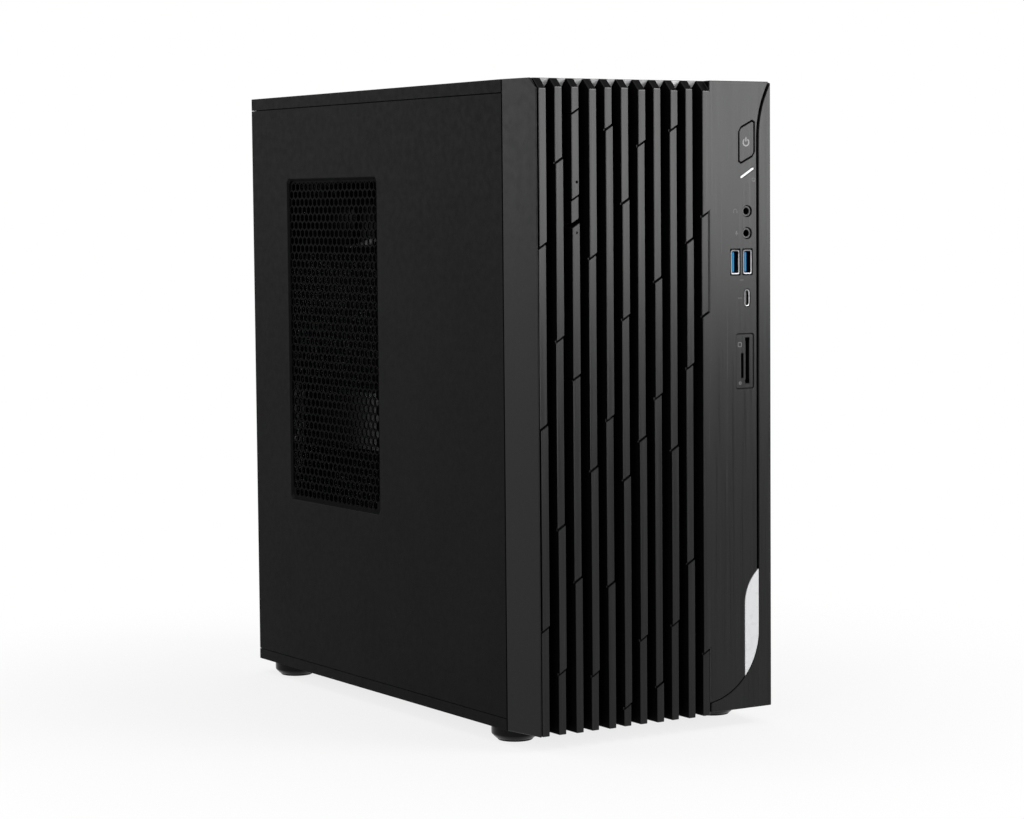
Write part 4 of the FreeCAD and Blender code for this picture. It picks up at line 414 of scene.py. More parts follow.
# ---- CAD nodes that keep their form ----
# node: finish, and edge rounding in millimetres
LOOKS = {
    "front_bezel": ("bezel", 0.35), "rib_panel": ("ribs", 0.28), "badge_plate": ("badge", 0.2),
    "drive_door": ("ribs", 0.28), "eject_button": ("ribs", 0.28), "power_button": ("ribs", 0.2),
    "light_bar": ("light", 0.1), "card_reader": ("ribs", 0.15), "front_port_board": ("board", 0.0),
    "power_switch": ("black", 0.0),
    "base_pan": ("shell", 0.15), "top_panel": ("shell", 0.25), "right_panel": ("shell", 0.2),
    "rear_panel": ("zinc", 0.0), "front_wall": ("zinc", 0.0), "motherboard_tray": ("zinc", 0.0),
    "drive_case": ("zinc", 0.0), "disc_tray": ("black", 0.2), "disc_spindle": ("black", 0.2),
    "laser_sled": ("drive", 0.2), "optical_bracket": ("zinc", 0.0), "hard_drive": ("drive", 0.3),
    "hard_drive_cage": ("zinc", 0.0),
    "motherboard": ("board", 0.0), "board_blocks": ("black", 0.3), "board_standoffs": ("brass", 0.1),
    "board_slots": ("black", 0.2), "memory_sticks": ("board", 0.1), "port_shield": ("plate", 0.05),
    "rear_usb_sockets": ("steel", 0.1), "rear_video_sockets": ("steel", 0.1),
    "rear_network_sockets": ("steel", 0.1), "rear_audio_sockets": ("black", 0.1),
    "cooler_heatsink": ("fins", 0.0), "cooler_fan_frame": ("fan", 0.3), "rear_fan_frame": ("fan", 0.3),
    "graphics_board": ("board", 0.0), "graphics_heatsink": ("fins", 0.0), "graphics_shroud": ("black", 0.3),
    "graphics_bracket": ("plate", 0.1), "slot_covers": ("zinc", 0.1),
    "psu_case": ("psu", 0.2), "psu_guard": ("steel", 0.2), "mains_inlet": ("black", 0.15),
    "mains_pins": ("steel", 0.1), "mains_switch_frame": ("black", 0.15),
    "mains_switch_rocker": ("black", 0.2),
}
FLAT_SHADED = {"rib_panel", "drive_door", "eject_button", "front_bezel", "power_button", "card_reader"}
RIB_FRONT = CAD_BOX[0][1] / MM           # plane of the ribs' faces and the port strip
RIDGE_LOW = CAD_BOX[1][2] / MM - 13.0    # height above which the ribs' tops slope back
STRIP_LEFT = 33.9                        # left side of the port strip
RIB_FACES, WALL, STRIP = 1.7, 1.5, 0.4   # depths that hold the ribs' faces, the strip's side and its face
ALIGNED, LEANING = 0.9, 0.3              # least part of a normal that faces along an axis, or leans to it
NEAR = 0.1                               # slack in finding a face's own solid
PRINT_ROOM = 0.03        # the port strip lies this far back, so that printed marks stay inside the CAD box
READER_FACE = corners("card_reader")[0].y
STICK_BOARD = 1.25       # thickness of a memory stick without its chips
RIB_FINISHES = ("ribs", "groove", "rib_top", "ramp", "rib_wall")
SOCKET_FINISHES = ("steel", "dark", "blue")


def rib_faces(centre, normal):
    """Brushed fronts; sloped tops and black grooves in darker copies that are painted shade, ramps under
    the ridge in a light grey that is a painted highlight, and the port strip's side wall in a lighter copy
    that is painted light.
    """
    if normal.y < -ALIGNED and centre.y < RIB_FRONT + RIB_FACES:
        return "ribs"
    # the port strip's side wall: painted light
    if normal.x < -ALIGNED and abs(centre.x - STRIP_LEFT) < 2 * NEAR and centre.y < RIB_FRONT + WALL:
        return "rib_wall"
    if centre.x > STRIP_LEFT and centre.y < RIB_FRONT + STRIP:
        return "ribs"
    # sloped tops: painted shade
    if normal.y < -LEANING and normal.z > LEANING and centre.z > RIDGE_LOW:
        return "rib_top"
    # ramps under the ridge: painted highlight
    if normal.y < -LEANING and normal.z < -LEANING and centre.z > RIDGE_LOW:
        return "ramp"
    # everything else in the grooves: painted shade
    return "groove"


def reader_faces(centre, _):
    """Brushed face; black mouths, made blacker with painted shade."""
    return "ribs" if centre.y < READER_FACE + 0.3 else "dark"


def bezel_faces(centre, normal):
    """The front of the corner strip has the ribs' finish."""
    return "ribs" if normal.y < -ALIGNED and centre.x > 0 and centre.y < RIB_FRONT + 1.0 else "bezel"


def rear_socket_faces(node, tongue="dark"):
    """Rule for steel shells that are black inside, made blacker with painted shade, and may have a coloured
    tongue.
    """
    boxes = solids_of(node)

    def rule(centre, normal):
        for low, high in boxes:
            if low.x - NEAR < centre.x < high.x + NEAR and low.z - NEAR < centre.z < high.z + NEAR:
                sides = (centre.x - low.x, high.x - centre.x, centre.z - low.z, high.z - centre.z,
                         centre.y - low.y)
                if min(sides) < 0.05 or centre.y > high.y - 0.4:
                    return "steel"
                if normal.y > ALIGNED and centre.y > high.y - 1.5:
                    return tongue
        return "dark"
    return rule


def stick_faces(centre, _):
    """Memory chips stand on one side of each stick."""
    for low, high in solids_of("memory_sticks"):
        if low.y - NEAR < centre.y < high.y + NEAR:
            return "black" if centre.y > low.y + STICK_BOARD else "board"
    return "board"


# node: all its finishes and the rule that gives each face its own
FACE_LOOKS = {
    "rib_panel": (RIB_FINISHES, rib_faces),
    "drive_door": (RIB_FINISHES, rib_faces),
    "eject_button": (RIB_FINISHES, rib_faces),
    "card_reader": (("ribs", "dark"), reader_faces),
    "front_bezel": (("bezel", "ribs"), bezel_faces),
    "rear_usb_sockets": (SOCKET_FINISHES, rear_socket_faces("rear_usb_sockets", "blue")),
    "rear_network_sockets": (SOCKET_FINISHES, rear_socket_faces("rear_network_sockets", "blue")),
    "rear_video_sockets": (SOCKET_FINISHES[:2], rear_socket_faces("rear_video_sockets")),
    "memory_sticks": (("board", "black"), stick_faces),
}


def round_edges(piece, width):
    edge = piece.modifiers.new("edge_rounding", "BEVEL")
    edge.width = width * MM
    edge.segments = 2
    edge.limit_method = "ANGLE"
    edge.angle_limit = SHARP
    edge.harden_normals = True
    edge.use_clamp_overlap = False


def chamfer_edges(shape, width, low, high):
    """Flat chamfers, held inside the box that the node had."""
    edges = [e for e in shape.edges if len(e.link_faces) == 2 and e.calc_face_angle(0.0) > SHARP]
    bmesh.ops.bevel(shape, geom=edges, offset=width * MM, segments=1, profile=0.5, affect="EDGES",
                    clamp_overlap=False)
    for vert in shape.verts:
        vert.co = [min(max(c, a * MM), b * MM) for c, a, b in zip(vert.co, low, high)]


def carry(node, material, width):
    """The CAD node's form with its faces merged and its edges rounded."""
    shape = shape_of(node)
    bmesh.ops.dissolve_limit(shape, angle_limit=math.radians(1.0), verts=shape.verts, edges=shape.edges)
    if node == "rib_panel":
        for vert in shape.verts:
            if vert.co.x / MM > STRIP_LEFT + 0.3 and vert.co.y / MM < RIB_FRONT + 0.01:
                vert.co.y += PRINT_ROOM * MM
    materials, rule = FACE_LOOKS.get(node, (material, None))
    if rule:
        shape.normal_update()
        for face in shape.faces:
            face.material_index = materials.index(rule(face.calc_center_median() / MM, face.normal))
    flat = node in FLAT_SHADED
    if flat:
        chamfer_edges(shape, width, *corners(node))
    mesh = bpy.data.meshes.new(node + "_finish")
    shape.to_mesh(mesh)
    shape.free()
    if not flat:
        mesh.shade_smooth()
        mesh.set_sharp_from_angle(angle=math.radians(32.0))
    piece = add_piece(node + "_finish", mesh, frame["nodes"][node]["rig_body"], materials, node)
    if width > 0 and not flat:
        round_edges(piece, width)


# ---- side cover with its fine vent ----
VENT_SHEET = 0.8
ROW_PITCH, COLUMN_PITCH = 4.48, 5.173
HOLE_RADIUS = 2.31       # centre to corner of each six-sided hole
LIP, LIP_DEPTH = 0.1, 0.12
ROWS, ROW_HOLES = 41, 19             # every second row has one hole more
TOP_MARGIN = 3.8                     # vent's upper edge to the first row's centres
LONG_MARGIN, SHORT_MARGIN = 5.3, 2.72    # vent's rear edge to the first centre of either kind of row
WELD, RIM_WELD = 0.06, 0.01              # joins the cells to each other, and the sheet to the cover


def bounds_of(faces):
    """Lowest and highest y and z of some faces, and where they lie along x."""
    points = [v.co / MM for f in faces for v in f.verts]
    return (min(p.y for p in points), max(p.y for p in points),
            min(p.z for p in points), max(p.z for p in points), points[0].x)


def rim_of(faces):
    """The corners on the edge of some faces, as (y, z) in order round their middle."""
    a, b, c, d, _ = bounds_of(faces)
    points = {(round(v.co.y / MM, 4), round(v.co.z / MM, 4)) for f in faces for v in f.verts}
    rim = [p for p in points if min(abs(p[0] - a), abs(p[0] - b), abs(p[1] - c), abs(p[1] - d)) < 0.01]
    return sorted(rim, key=lambda p: math.atan2(p[1] - (c + d) / 2, p[0] - (a + b) / 2))


def add_vent(plate, rear, top):
    """Rows of six-sided cells, each with a hole whose outer edge is rolled in."""
    cell = COLUMN_PITCH / math.sqrt(3)
    for row in range(ROWS):
        z = top - TOP_MARGIN - row * ROW_PITCH
        first = rear - (LONG_MARGIN if row % 2 == 0 else SHORT_MARGIN)
        for k in range(ROW_HOLES + row % 2):
            centre = (first - k * COLUMN_PITCH, z)
            hole, lip = hexagon(HOLE_RADIUS, centre), hexagon(HOLE_RADIUS + LIP, centre)
            outline = hexagon(cell, centre)
            plate.loft([(outline, 0), (lip, 0), (hole, LIP_DEPTH), (hole, VENT_SHEET),
                        (outline, VENT_SHEET)], caps=False)
    bmesh.ops.remove_doubles(plate.shape, verts=plate.shape.verts, dist=WELD * MM)


def make_side_cover():
    """The CAD cover with its few large vent holes replaced by the full pattern of small ones."""
    outside = corners("left_panel")[0].x
    shape = shape_of("left_panel")
    shape.normal_update()
    centre_of = {f: f.calc_center_median() / MM for f in shape.faces}

    def facing(sign, near, far):
        """Faces across x, between two depths from the cover's outside."""
        return [f for f in shape.faces
                if f.normal.x * sign > ALIGNED and near < centre_of[f].x - outside < far]

    front = facing(-1, 0.3, 1.5)
    y0, y1, z0, z1, x0 = bounds_of(front)
    inner = x0 - outside + VENT_SHEET
    back = [f for f in facing(1, inner - NEAR, inner + NEAR) if y0 - 1 < centre_of[f].y < y1 + 1]
    rims = rim_of(front), rim_of(back)
    walls = [f for f in shape.faces if abs(f.normal.x) < 0.05 and x0 < centre_of[f].x < x0 + VENT_SHEET
             and y0 + 0.5 < centre_of[f].y < y1 - 0.5 and z0 + 0.5 < centre_of[f].z < z1 - 0.5]
    bmesh.ops.delete(shape, geom=front + back + walls, context="FACES")
    edges = [e for e in shape.edges if len(e.link_faces) == 2 and e.calc_face_angle(0.0) > 0.5
             and max(v.co.x for v in e.verts) / MM < outside + 0.01]
    bmesh.ops.bevel(shape, geom=edges, offset=0.22 * MM, segments=2, profile=0.5, affect="EDGES")
    cover = bpy.data.meshes.new("side_cover_sheet")
    shape.to_mesh(cover)
    shape.free()

    plate = Form("left", (x0, 0, 0))
    add_vent(plate, y1, z1)
    for x, points in zip((x0, x0 + VENT_SHEET), rims):
        gap = [e for e in plate.shape.edges if len(e.link_faces) == 1
               and all(abs(v.co.x / MM - x) < 0.01 for v in e.verts)]
        ring = plate.ring(points, x - x0)
        gap += [plate.shape.edges.new((ring[k], ring[(k + 1) % len(ring)])) for k in range(len(ring))]
        bmesh.ops.triangle_fill(plate.shape, use_beauty=True, edges=gap)
    # the vent sheet takes the darker coat: painted shade
    for face in plate.shape.faces:
        face.material_index = 1
    plate.shape.from_mesh(cover)
    bpy.data.meshes.remove(cover)
    bmesh.ops.remove_doubles(plate.shape, verts=plate.shape.verts, dist=RIM_WELD * MM)
    # the slopes above, below and in front of the vent take the darker coat too, painted shade along those
    # edges; the rear slope keeps the cover's coat
    for face in plate.shape.faces:
        centre = face.calc_center_median() / MM
        slope = -0.9 < face.normal.x < -0.2 and face.normal.y > -0.3
        if slope and x0 - 0.9 < centre.x < x0 - 0.1 and y0 - 2 < centre.y < y1 + 2:
            face.material_index = 1
    plate.finish("side_cover", "side_panel", ("shell", "mesh"), "left_panel", smooth=0)


# ---- front controls and ports ----
INSET, INK = -0.04, 0.05     # a mark's outer face, where there is room for it, and its depth
JACK_RIGHT = 3.6             # jack axis to the right side of its body
JACK_RADII = (2.75, 2.62, 2.05, 1.75)    # barrel, rim, mouth, bore
DASH = rounded(2.6, 0.42, 0.2, 3)


def print_marks():
    """Generic symbols on the button, beside the sockets and on the card reader."""
    low, high = corners("power_button")
    mark = Form("front", ((low.x + high.x) / 2 - 0.4, low.y, (low.z + high.z) / 2 - 0.3))
    mark.prism(arc_band(1.5, 2.25, 124, 416, 36), INSET, INK)
    mark.prism(rounded(0.72, 2.3, 0.2, 3, (0, 1.6)), INSET, INK)
    mark.finish("power_mark", "power_button", "mark")

    lower, upper = sorted(solids_of("audio_jacks"), key=lambda solid: solid[0].z)
    x = lower[1].x - JACK_RIGHT - 8.0
    mark = Form("front", (x, RIB_FRONT, middle(*upper).z))           # headphones
    mark.prism(arc_band(0.95, 1.3, 0, 180, 16), 0.0, INK)
    mark.prism(rounded(0.55, 1.1, 0.2, 3, (-1.1, -0.4)), 0.0, INK)
    mark.prism(rounded(0.55, 1.1, 0.2, 3, (1.1, -0.4)), 0.0, INK)
    mark.aim("front", (x + 0.9, RIB_FRONT, middle(*lower).z))        # microphone
    mark.prism(rounded(0.8, 1.7, 0.4, 5, (0, 0.5)), 0.0, INK)
    mark.prism(arc_band(0.75, 1.0, 180, 360, 14, (0, 0.3)), 0.0, INK)
    mark.prism(rounded(0.3, 0.7, 0.1, 2, (0, -1.0)), 0.0, INK)
    low, high = corners("light_bar")
    mark.aim("front", ((low.x + high.x) / 2 + 4.2, RIB_FRONT, (low.z + high.z) / 2 - 3.4))
    mark.frame(rounded(2.4, 1.5, 0.7, 6), rounded(1.9, 1.0, 0.5, 6), 0.0, INK)
    mark.prism(arc_band(0.95, 1.2, 200, 340, 10, (0, -0.2)), 0.0, INK)
    shells = solids_of("usb_shells")
    wide = [pair for pair in shells if pair[1].x - pair[0].x > USB_SPLIT]
    slim = [pair for pair in shells if pair[1].x - pair[0].x < USB_SPLIT]
    centre = sum(low.x + high.x for low, high in wide) / (2 * len(wide))
    mark.aim("front", (centre, RIB_FRONT, wide[0][0].z - 3.0))
    mark.prism(DASH, 0.0, INK)
    for low, high in slim:
        mark.aim("front", (low.x - 3.2, RIB_FRONT, (low.z + high.z) / 2))
        mark.prism(DASH, 0.0, INK)
    mark.finish("port_marks", "case", "mark_dim", smooth=0)

    low, high = corners("card_reader")
    mark = Form("front", (low.x + 2.6, low.y, high.z - 5.6))
    mark.frame(rounded(2.5, 2.5, 0.6, 4), rounded(1.9, 1.9, 0.35, 4), INSET, INK)
    mark.aim("front", (low.x + 2.8, low.y, low.z + 2.8))
    mark.frame(circle(0.85, 20), circle(0.5, 20), INSET, INK)
    mark.finish("reader_marks", "case", "mark_mid", smooth=0)


def make_jacks():
    form = Form()
    for low, high in solids_of("audio_jacks"):
        form.aim("front", (high.x - JACK_RIGHT, low.y, (low.z + high.z) / 2))
        body = rounded(high.x - low.x, high.z - low.z, 0.6, 9, ((low.x - high.x) / 2 + JACK_RIGHT, 0))
        barrel, rim, mouth, bore = [circle(radius, 40, start=math.radians(4.5)) for radius in JACK_RADII]
        # the bore, slot 1, takes the blacker finish: painted shade inside the hole
        form.loft([(body, high.y - low.y), (body, 4.1), (barrel, 4.1), (barrel, 0.14), (rim, 0.0),
                   (mouth, 0.0), (bore, 0.25), (bore, 12.0)], slots=[0, 0, 0, 0, 0, 0, 1, 1, 1])
    form.finish("audio_sockets", "case", ("black", "dark"), "audio_jacks", smooth=25.0)


USB_SPLIT = 4            # shells wider than this are USB-A, the others USB-C
TONGUE_SPLIT = 1.5       # the same for tongues
CONTACTS = 4
# the tongue body's darker blue and the blacker back wall carry painted shade
INSIDE_FINISHES = ("blue", "dark", "blue_painted_shade", "brass", "black")
AZURE, BACK, TONGUE, CONTACT, SLIM = range(5)


def make_usb_sockets():
    """Shells with rolled lips, and the tongues inside them."""
    shells = Form()
    insides = Form()
    for low, high in solids_of("usb_shells"):
        wide, tall, deep = high.x - low.x, high.z - low.z, high.y - low.y
        large = wide > USB_SPLIT
        at = ((low.x + high.x) / 2, low.y, (low.z + high.z) / 2)
        shells.aim("front", at)
        insides.aim("front", at)
        if large:
            outer, chamfer = rounded(wide - 0.1, tall - 0.1, 1.1), rounded(wide - 0.34, tall - 0.34, 1.0)
            lip, thin = rounded(4.3, 11.6, 0.6), rounded(4.9, 12.3, 0.7)
        else:
            outer, chamfer = rounded(wide, tall, 1.64, 8), rounded(wide - 0.16, tall - 0.16, 1.56, 8)
            lip, thin = rounded(2.4, 8.1, 1.19, 8), rounded(2.5, 8.2, 1.24, 8)
        # USB-A shells take the darker steel, painted shade; USB-C rings take the plain steel
        shells.loft([(outer, 0.12), (outer, deep), (thin, deep), (thin, 1.4), (lip, 0.5), (lip, 0.1),
                     (chamfer, 0.0)], closed=True, slots=[0 if large else 1] * 7)
        # back wall of the shell in the blacker finish: black plastic with painted shade
        insides.prism(thin, deep - 1.6, deep - 0.4, BACK)
    shells.finish("usb_lips", "case", ("lip", "steel"), "usb_shells", smooth=40.0)
    for low, high in solids_of("usb_tongues"):
        wide, tall, deep = high.x - low.x, high.z - low.z, high.y - low.y
        insides.aim("front", ((low.x + high.x) / 2, low.y, (low.z + high.z) / 2))
        if wide > TONGUE_SPLIT:
            full = rounded(wide + 0.3, tall, 0.3, 4, (0.15, 0))
            front = rounded(wide - 0.15, tall - 0.5, 0.25, 4, (0.15, 0))
            # the tongue's body takes the darker blue, painted shade round the azure face
            insides.loft([(full, deep), (full, 0.3), (front, 0.0)], slots=[TONGUE] * 3)
            insides.prism(rounded(wide * 0.52, tall - 1.0, 0.3, 4, (0.35, 0)), -0.12, 0.05, AZURE)
            for k in range(CONTACTS):
                insides.block((wide / 2 + 0.3, -3.6 + 2.2 * k, 0.9),
                              (wide / 2 + 0.38, -2.7 + 2.2 * k, deep - 2), CONTACT)
        else:
            full, front = rounded(wide, tall, 0.2, 3), rounded(wide - 0.2, tall - 0.3, 0.15, 3)
            insides.loft([(full, deep), (full, 0.2), (front, 0.0)], slots=[SLIM] * 3)
    insides.finish("usb_insides", "case", INSIDE_FINISHES, "usb_tongues", smooth=0)


# ---- feet and screws ----
ROUND = 96               # steps round a screw
# (inset from the full radius, height) from the floor up, and (inset, depth) at the top
FOOT_PROFILE = [(2.6, 0.0), (2.1, 0.35), (0.45, 2.0), (0.1, 2.45), (0.0, 3.0)], [(0.0, 0.5), (0.3, 0.0)]
PAD_PROFILE = [(5.0, 0.35), (4.7, 0.0), (2.2, 0.0), (1.9, 0.3), (1.5, 0.3), (1.2, 0.0), (0.3, 0.0),
               (0.0, 0.3)], [(0.0, 0.0)]


def make_round_pieces(name, node, material, profile, steps):
    """Pieces turned on an upright axis, one for each solid of the node."""
    form = Form("up")
    for low, high in solids_of(node):
        centre, radius, tall = middle(low, high), (high.x - low.x) / 2, high.z - low.z
        form.aim("up", (centre.x, centre.y, low.z))
        levels = profile[0] + [(inset, tall - depth) for inset, depth in profile[1]]
        form.turned([(radius - inset, level) for inset, level in levels], steps)
    form.finish(name, "case", material, node, smooth=28.0)


def cross(arm, half):
    """Outline of a screwdriver cross."""
    def reach(turn):
        t = turn % (math.pi / 2)
        t = min(t, math.pi / 2 - t)
        return min(arm / math.cos(t), half / max(math.sin(t), 0.001))
    return polar(reach, ROUND)


SHANK, SHANK_CORE, PITCH = 1.75, 1.75 - 0.28, 0.7


def thread(start, end):
    """Rings of a thread along the shank."""
    crest, root = circle(SHANK, ROUND), circle(SHANK_CORE, ROUND)
    rings = []
    for k in range(int((end - start) / PITCH)):
        rings += [(crest, start + PITCH * k), (root, start + PITCH * (k + 0.5))]
    return rings + [(root, end)]


HEAD = 6.0               # height of a thumbscrew's head


def make_screws():
    form = Form()
    for low, high in solids_of("panel_thumbscrews"):
        centre, radius = middle(low, high), (high.x - low.x) / 2
        form.aim("rear", (centre.x, high.y, centre.z))
        knurl = polar(lambda t: radius - 0.22 * (round(t / (2 * math.pi) * ROUND) % 2), ROUND)
        top, neck, collar = [circle(radius - inset, ROUND) for inset in (0.7, 0.9, 0.2)]
        form.loft([(cross(2.6, 0.5), 1.5), (cross(3.0, 0.65), 0.0), (top, 0.0), (knurl, 0.5),
                   (knurl, HEAD - 1.6), (neck, HEAD - 1.2), (neck, HEAD - 0.6), (collar, HEAD - 0.5),
                   (collar, HEAD), (circle(SHANK, ROUND), HEAD)] + thread(HEAD + 0.2, high.y - low.y))
    form.finish("knurled_thumbscrews", "side_panel", "screw", "panel_thumbscrews", smooth=25.0)
    form = Form()
    pan_head = [(2.2, 0.0), (2.9, 0.25), (3.25, 0.75), (3.3, 1.3), (3.3, 1.8), (SHANK, 1.8)]
    for low, high in solids_of("case_screws"):
        centre = middle(low, high)
        form.aim("rear", (centre.x, high.y, centre.z))
        form.loft([(cross(1.2, 0.25), 1.3), (cross(1.9, 0.45), 0.12)]
                  + [(circle(radius, ROUND), level) for radius, level in pan_head]
                  + thread(2.0, high.y - low.y))
    form.finish("pan_head_screws", "case", "screw", "case_screws", smooth=28.0)


# ---- fans ----
# fan: number of blades, hub radius, way to its motor, turn of the first blade in radians
FANS = {
    "rear_fan": (7, 14.5, (0, 1, 0), -0.05),
    "cooler_fan": (7, 16.5, (1, 0, 0), 0.0),
    "graphics_fan": (8, 14.5, (0, 0, 1), 0.0),
    "psu_fan": (7, 15.5, (0, 0, -1), 0.0),
}
BORE, BORE_DEPTH = 2.15, 6.5
RINGS, CHORDS = 8, 9         # steps of a blade from hub to tip and from edge to edge
BLADE_ROOT = 0.6             # length of a blade inside the hub
BLADE_HALF = 0.55            # half of a blade's thickness
TIP_ROOM = 0.05


def add_blade(form, base, share, hub, tip, tall):
    """One swept, curved blade; share is the angle from one blade to the next."""
    skins = []
    for side in (-1, 1):
        skin = []
        for i in range(RINGS + 1):
            s = i / RINGS
            radius = hub - BLADE_ROOT + (tip - hub + BLADE_ROOT) * s
            row = []
            for j in range(CHORDS + 1):
                c = j / CHORDS
                sweep = 0.34 * s * s - 0.1 * s + (c - 0.5) * share * (1.0 + 0.14 * s)
                turn = base + sweep
                rise = c * c * (3 - 2 * c) * 0.35 + c * 0.65
                edge = math.sin(math.pi * c) ** 0.5
                level = 0.9 + (tall - 1.8) * (0.06 + 0.88 * rise) + side * BLADE_HALF * (0.35 + 0.65 * edge)
                row.append(form.point(radius * math.cos(turn), radius * math.sin(turn), level))
            skin.append(row)
        skins.append(skin)
    lower, upper = skins
    faces = form.shape.faces
    for i in range(RINGS):
        for j in range(CHORDS):
            for skin in skins:
                faces.new((skin[i][j], skin[i + 1][j], skin[i + 1][j + 1], skin[i][j + 1]))
    border = [(i, 0) for i in range(RINGS)] + [(RINGS, j) for j in range(CHORDS)] + \
             [(i, CHORDS) for i in range(RINGS, 0, -1)] + [(0, j) for j in range(CHORDS, 0, -1)]
    for k, (i, j) in enumerate(border):
        m, n = border[(k + 1) % len(border)]
        faces.new((lower[i][j], lower[m][n], upper[m][n], upper[i][j]))


def make_fan_wheel(fan, blades, hub, motor_side, phase):
    """Hub with a rounded cap and blades; the bore for the axle is on the motor side."""
    node = fan + "_rotor"
    source = frame["nodes"][node]
    w = Vector(motor_side)
    u = Z if abs(w.z) < 0.5 else X
    centre = joint_place(fan + "_spin")
    points = [vert.co / MM - centre for vert in source.data.vertices]
    along = [p.dot(w) for p in points]
    start, tall = min(along), max(along) - min(along)
    tip = max((p - w * p.dot(w)).length for p in points) - TIP_ROOM
    form = Form((u, w.cross(u), w), centre + w * start)
    profile = [(BORE, tall - BORE_DEPTH), (BORE, tall), (hub - 0.3, tall), (hub, tall - 0.4), (hub, 1.6),
               (hub - 0.5, 0.55), (hub - 1.7, 0.0), (hub * 0.62, 0.0), (hub * 0.6, 0.25)]
    form.turned(profile, 48)
    for b in range(blades):
        add_blade(form, phase + 2 * math.pi * b / blades, 2 * math.pi / blades, hub, tip, tall)
    form.finish(fan + "_wheel", source["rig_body"], "fan", node, smooth=40.0)


# ---- rear and inside ----
def make_audio_rings():
    """Coloured rings round the three rear audio sockets."""
    low, high = corners("rear_audio_sockets")
    form = Form()
    profile = [(3.9, 0.2), (3.9, -0.05), (3.6, -0.25), (2.4, -0.25), (1.85, 0.1), (1.85, 0.2)]
    for slot, reach in enumerate((6, 18, 30)):
        form.aim("rear", (high.x - reach, high.y, (low.z + high.z) / 2))
        form.turned(profile, 40, closed=True, slots=[slot] * 6)
    form.finish("rear_audio_rings", "case", ("jack_lime", "jack_azure", "jack_rose"), smooth=30.0)


ROCKER_TILT = math.radians(9.0)      # turn of the rocker at rest
ROCKER_REACH = 2.06                  # its axis to its face, about the marks
MARK_RISE = 4.6                      # its axis to each mark's middle


def make_mains_marks():
    """Generic on and off marks of the rocker."""
    tilt = Matrix.Rotation(ROCKER_TILT, 3, "X")
    form = Form((X, tilt @ Z, tilt @ -Y), joint_place("mains_rocker_tilt"))
    near, far = -ROCKER_REACH - 0.12, -ROCKER_REACH + 0.5
    form.prism(rounded(0.6, 3.0, 0.2, 3, (0, MARK_RISE)), near, far)
    form.frame(circle(1.6, 28, (0, -MARK_RISE)), circle(1.1, 28, (0, -MARK_RISE)), near, far)
    form.finish("rocker_marks", "mains_rocker", "mark", smooth=0)


PART_FINISHES = ("black", "fins", "coil", "ceramic")
BLACK, METAL, COIL, CERAMIC = range(4)
CLEARANCES = {"board_slots": 1.5, "board_blocks": 1.5, "rear_usb_sockets": 1.0, "rear_video_sockets": 1.0,
              "rear_network_sockets": 1.0, "rear_audio_sockets": 1.0, "board_standoffs": 3.4}
TRIES = 12               # places tried for each part that is wanted
PIN_PITCH, PIN_ROOM = 0.9, 1.2
CHIP_REACH, SMALL_CHIP_REACH = 5.5, 2.6      # half of the room that a chip needs


def add_capacitor(form, at):
    profile = [(3.0, 0.0), (3.0, -0.7), (2.8, -0.9), (3.0, -1.2), (3.0, -6.2), (2.7, -6.6)]
    form.turned(profile, 24, at, slots=[BLACK] * 2 + [METAL] * 5)


def add_coil(form, at):
    base, top = rounded(7.6, 7.6, 0.8, 3, at), rounded(6.8, 6.8, 0.6, 3, at)
    form.loft([(base, 0.0), (base, -3.6), (top, -4.0)], slots=[COIL] * 4)


def add_chip(form, at, reach):
    """Chip with a row of pins on two sides, all inside its reach."""
    half = reach - PIN_ROOM
    base, top = rounded(2 * half, 2 * half, 0.2, 2, at), rounded(2 * half - 0.5, 2 * half - 0.5, 0.2, 2, at)
    form.loft([(base, -0.15), (base, -1.1), (top, -1.3)])
    pins = int(2 * half / PIN_PITCH)
    for k in range(pins):
        z = at[1] + (k - (pins - 1) / 2) * PIN_PITCH
        for side in (-1, 1):
            near, far = sorted((at[0] + side * (half - 0.1), at[0] + side * (half + 0.8)))
            form.block((near, z - 0.2, -0.45), (far, z + 0.2, 0.0), METAL)


def add_small_part(form, at, pick):
    """Resistor or ceramic capacitor with metal at one end, lying or upright."""
    y, z = at
    lying = pick.random() < 0.5
    a, b = (0.8, 0.45) if lying else (0.45, 0.8)
    form.block((y - a, z - b, -0.5), (y + a, z + b, 0.0), CERAMIC if pick.random() < 0.6 else BLACK)
    if lying:
        form.block((y - a - 0.15, z - b, -0.5), (y - a + 0.1, z + b, 0.0), METAL)
    else:
        form.block((y - a, z - b - 0.15, -0.5), (y + a, z - b + 0.1, 0.0), METAL)


def make_board_components():
    """Chips, capacitors, coils and small parts scattered over the free areas of the board's face."""
    low, high = corners("motherboard")
    pick = random.Random(11)
    taken = []               # lowest and highest y and z of each area in use
    for node, room in CLEARANCES.items():
        taken += [(a.y - room, b.y + room, a.z - room, b.z + room) for a, b in solids_of(node)]
    form = Form("left", (low.x, 0, 0))
    kinds = (                # what adds one, half of the room it needs, how many are wanted
        (lambda at: add_capacitor(form, at), 3.4, 26),
        (lambda at: add_coil(form, at), 4.2, 10),
        (lambda at: add_chip(form, at, CHIP_REACH), CHIP_REACH, 12),
        (lambda at: add_chip(form, at, SMALL_CHIP_REACH), SMALL_CHIP_REACH, 30),
        (lambda at: add_small_part(form, at, pick), 0.9, 220),
    )
    for add, reach, wanted in kinds:
        placed = 0
        for _ in range(wanted * TRIES):
            if placed == wanted:
                break
            y = pick.uniform(low.y + 5, high.y - 6)
            z = pick.uniform(low.z + 5, high.z - 6)
            if any(a - reach < y < b + reach and c - reach < z < d + reach for a, b, c, d in taken):
                continue
            taken.append((y - reach, y + reach, z - reach, z + reach))
            placed += 1
            add((y, z))
    form.finish("board_components", "case", PART_FINISHES, smooth=30.0)


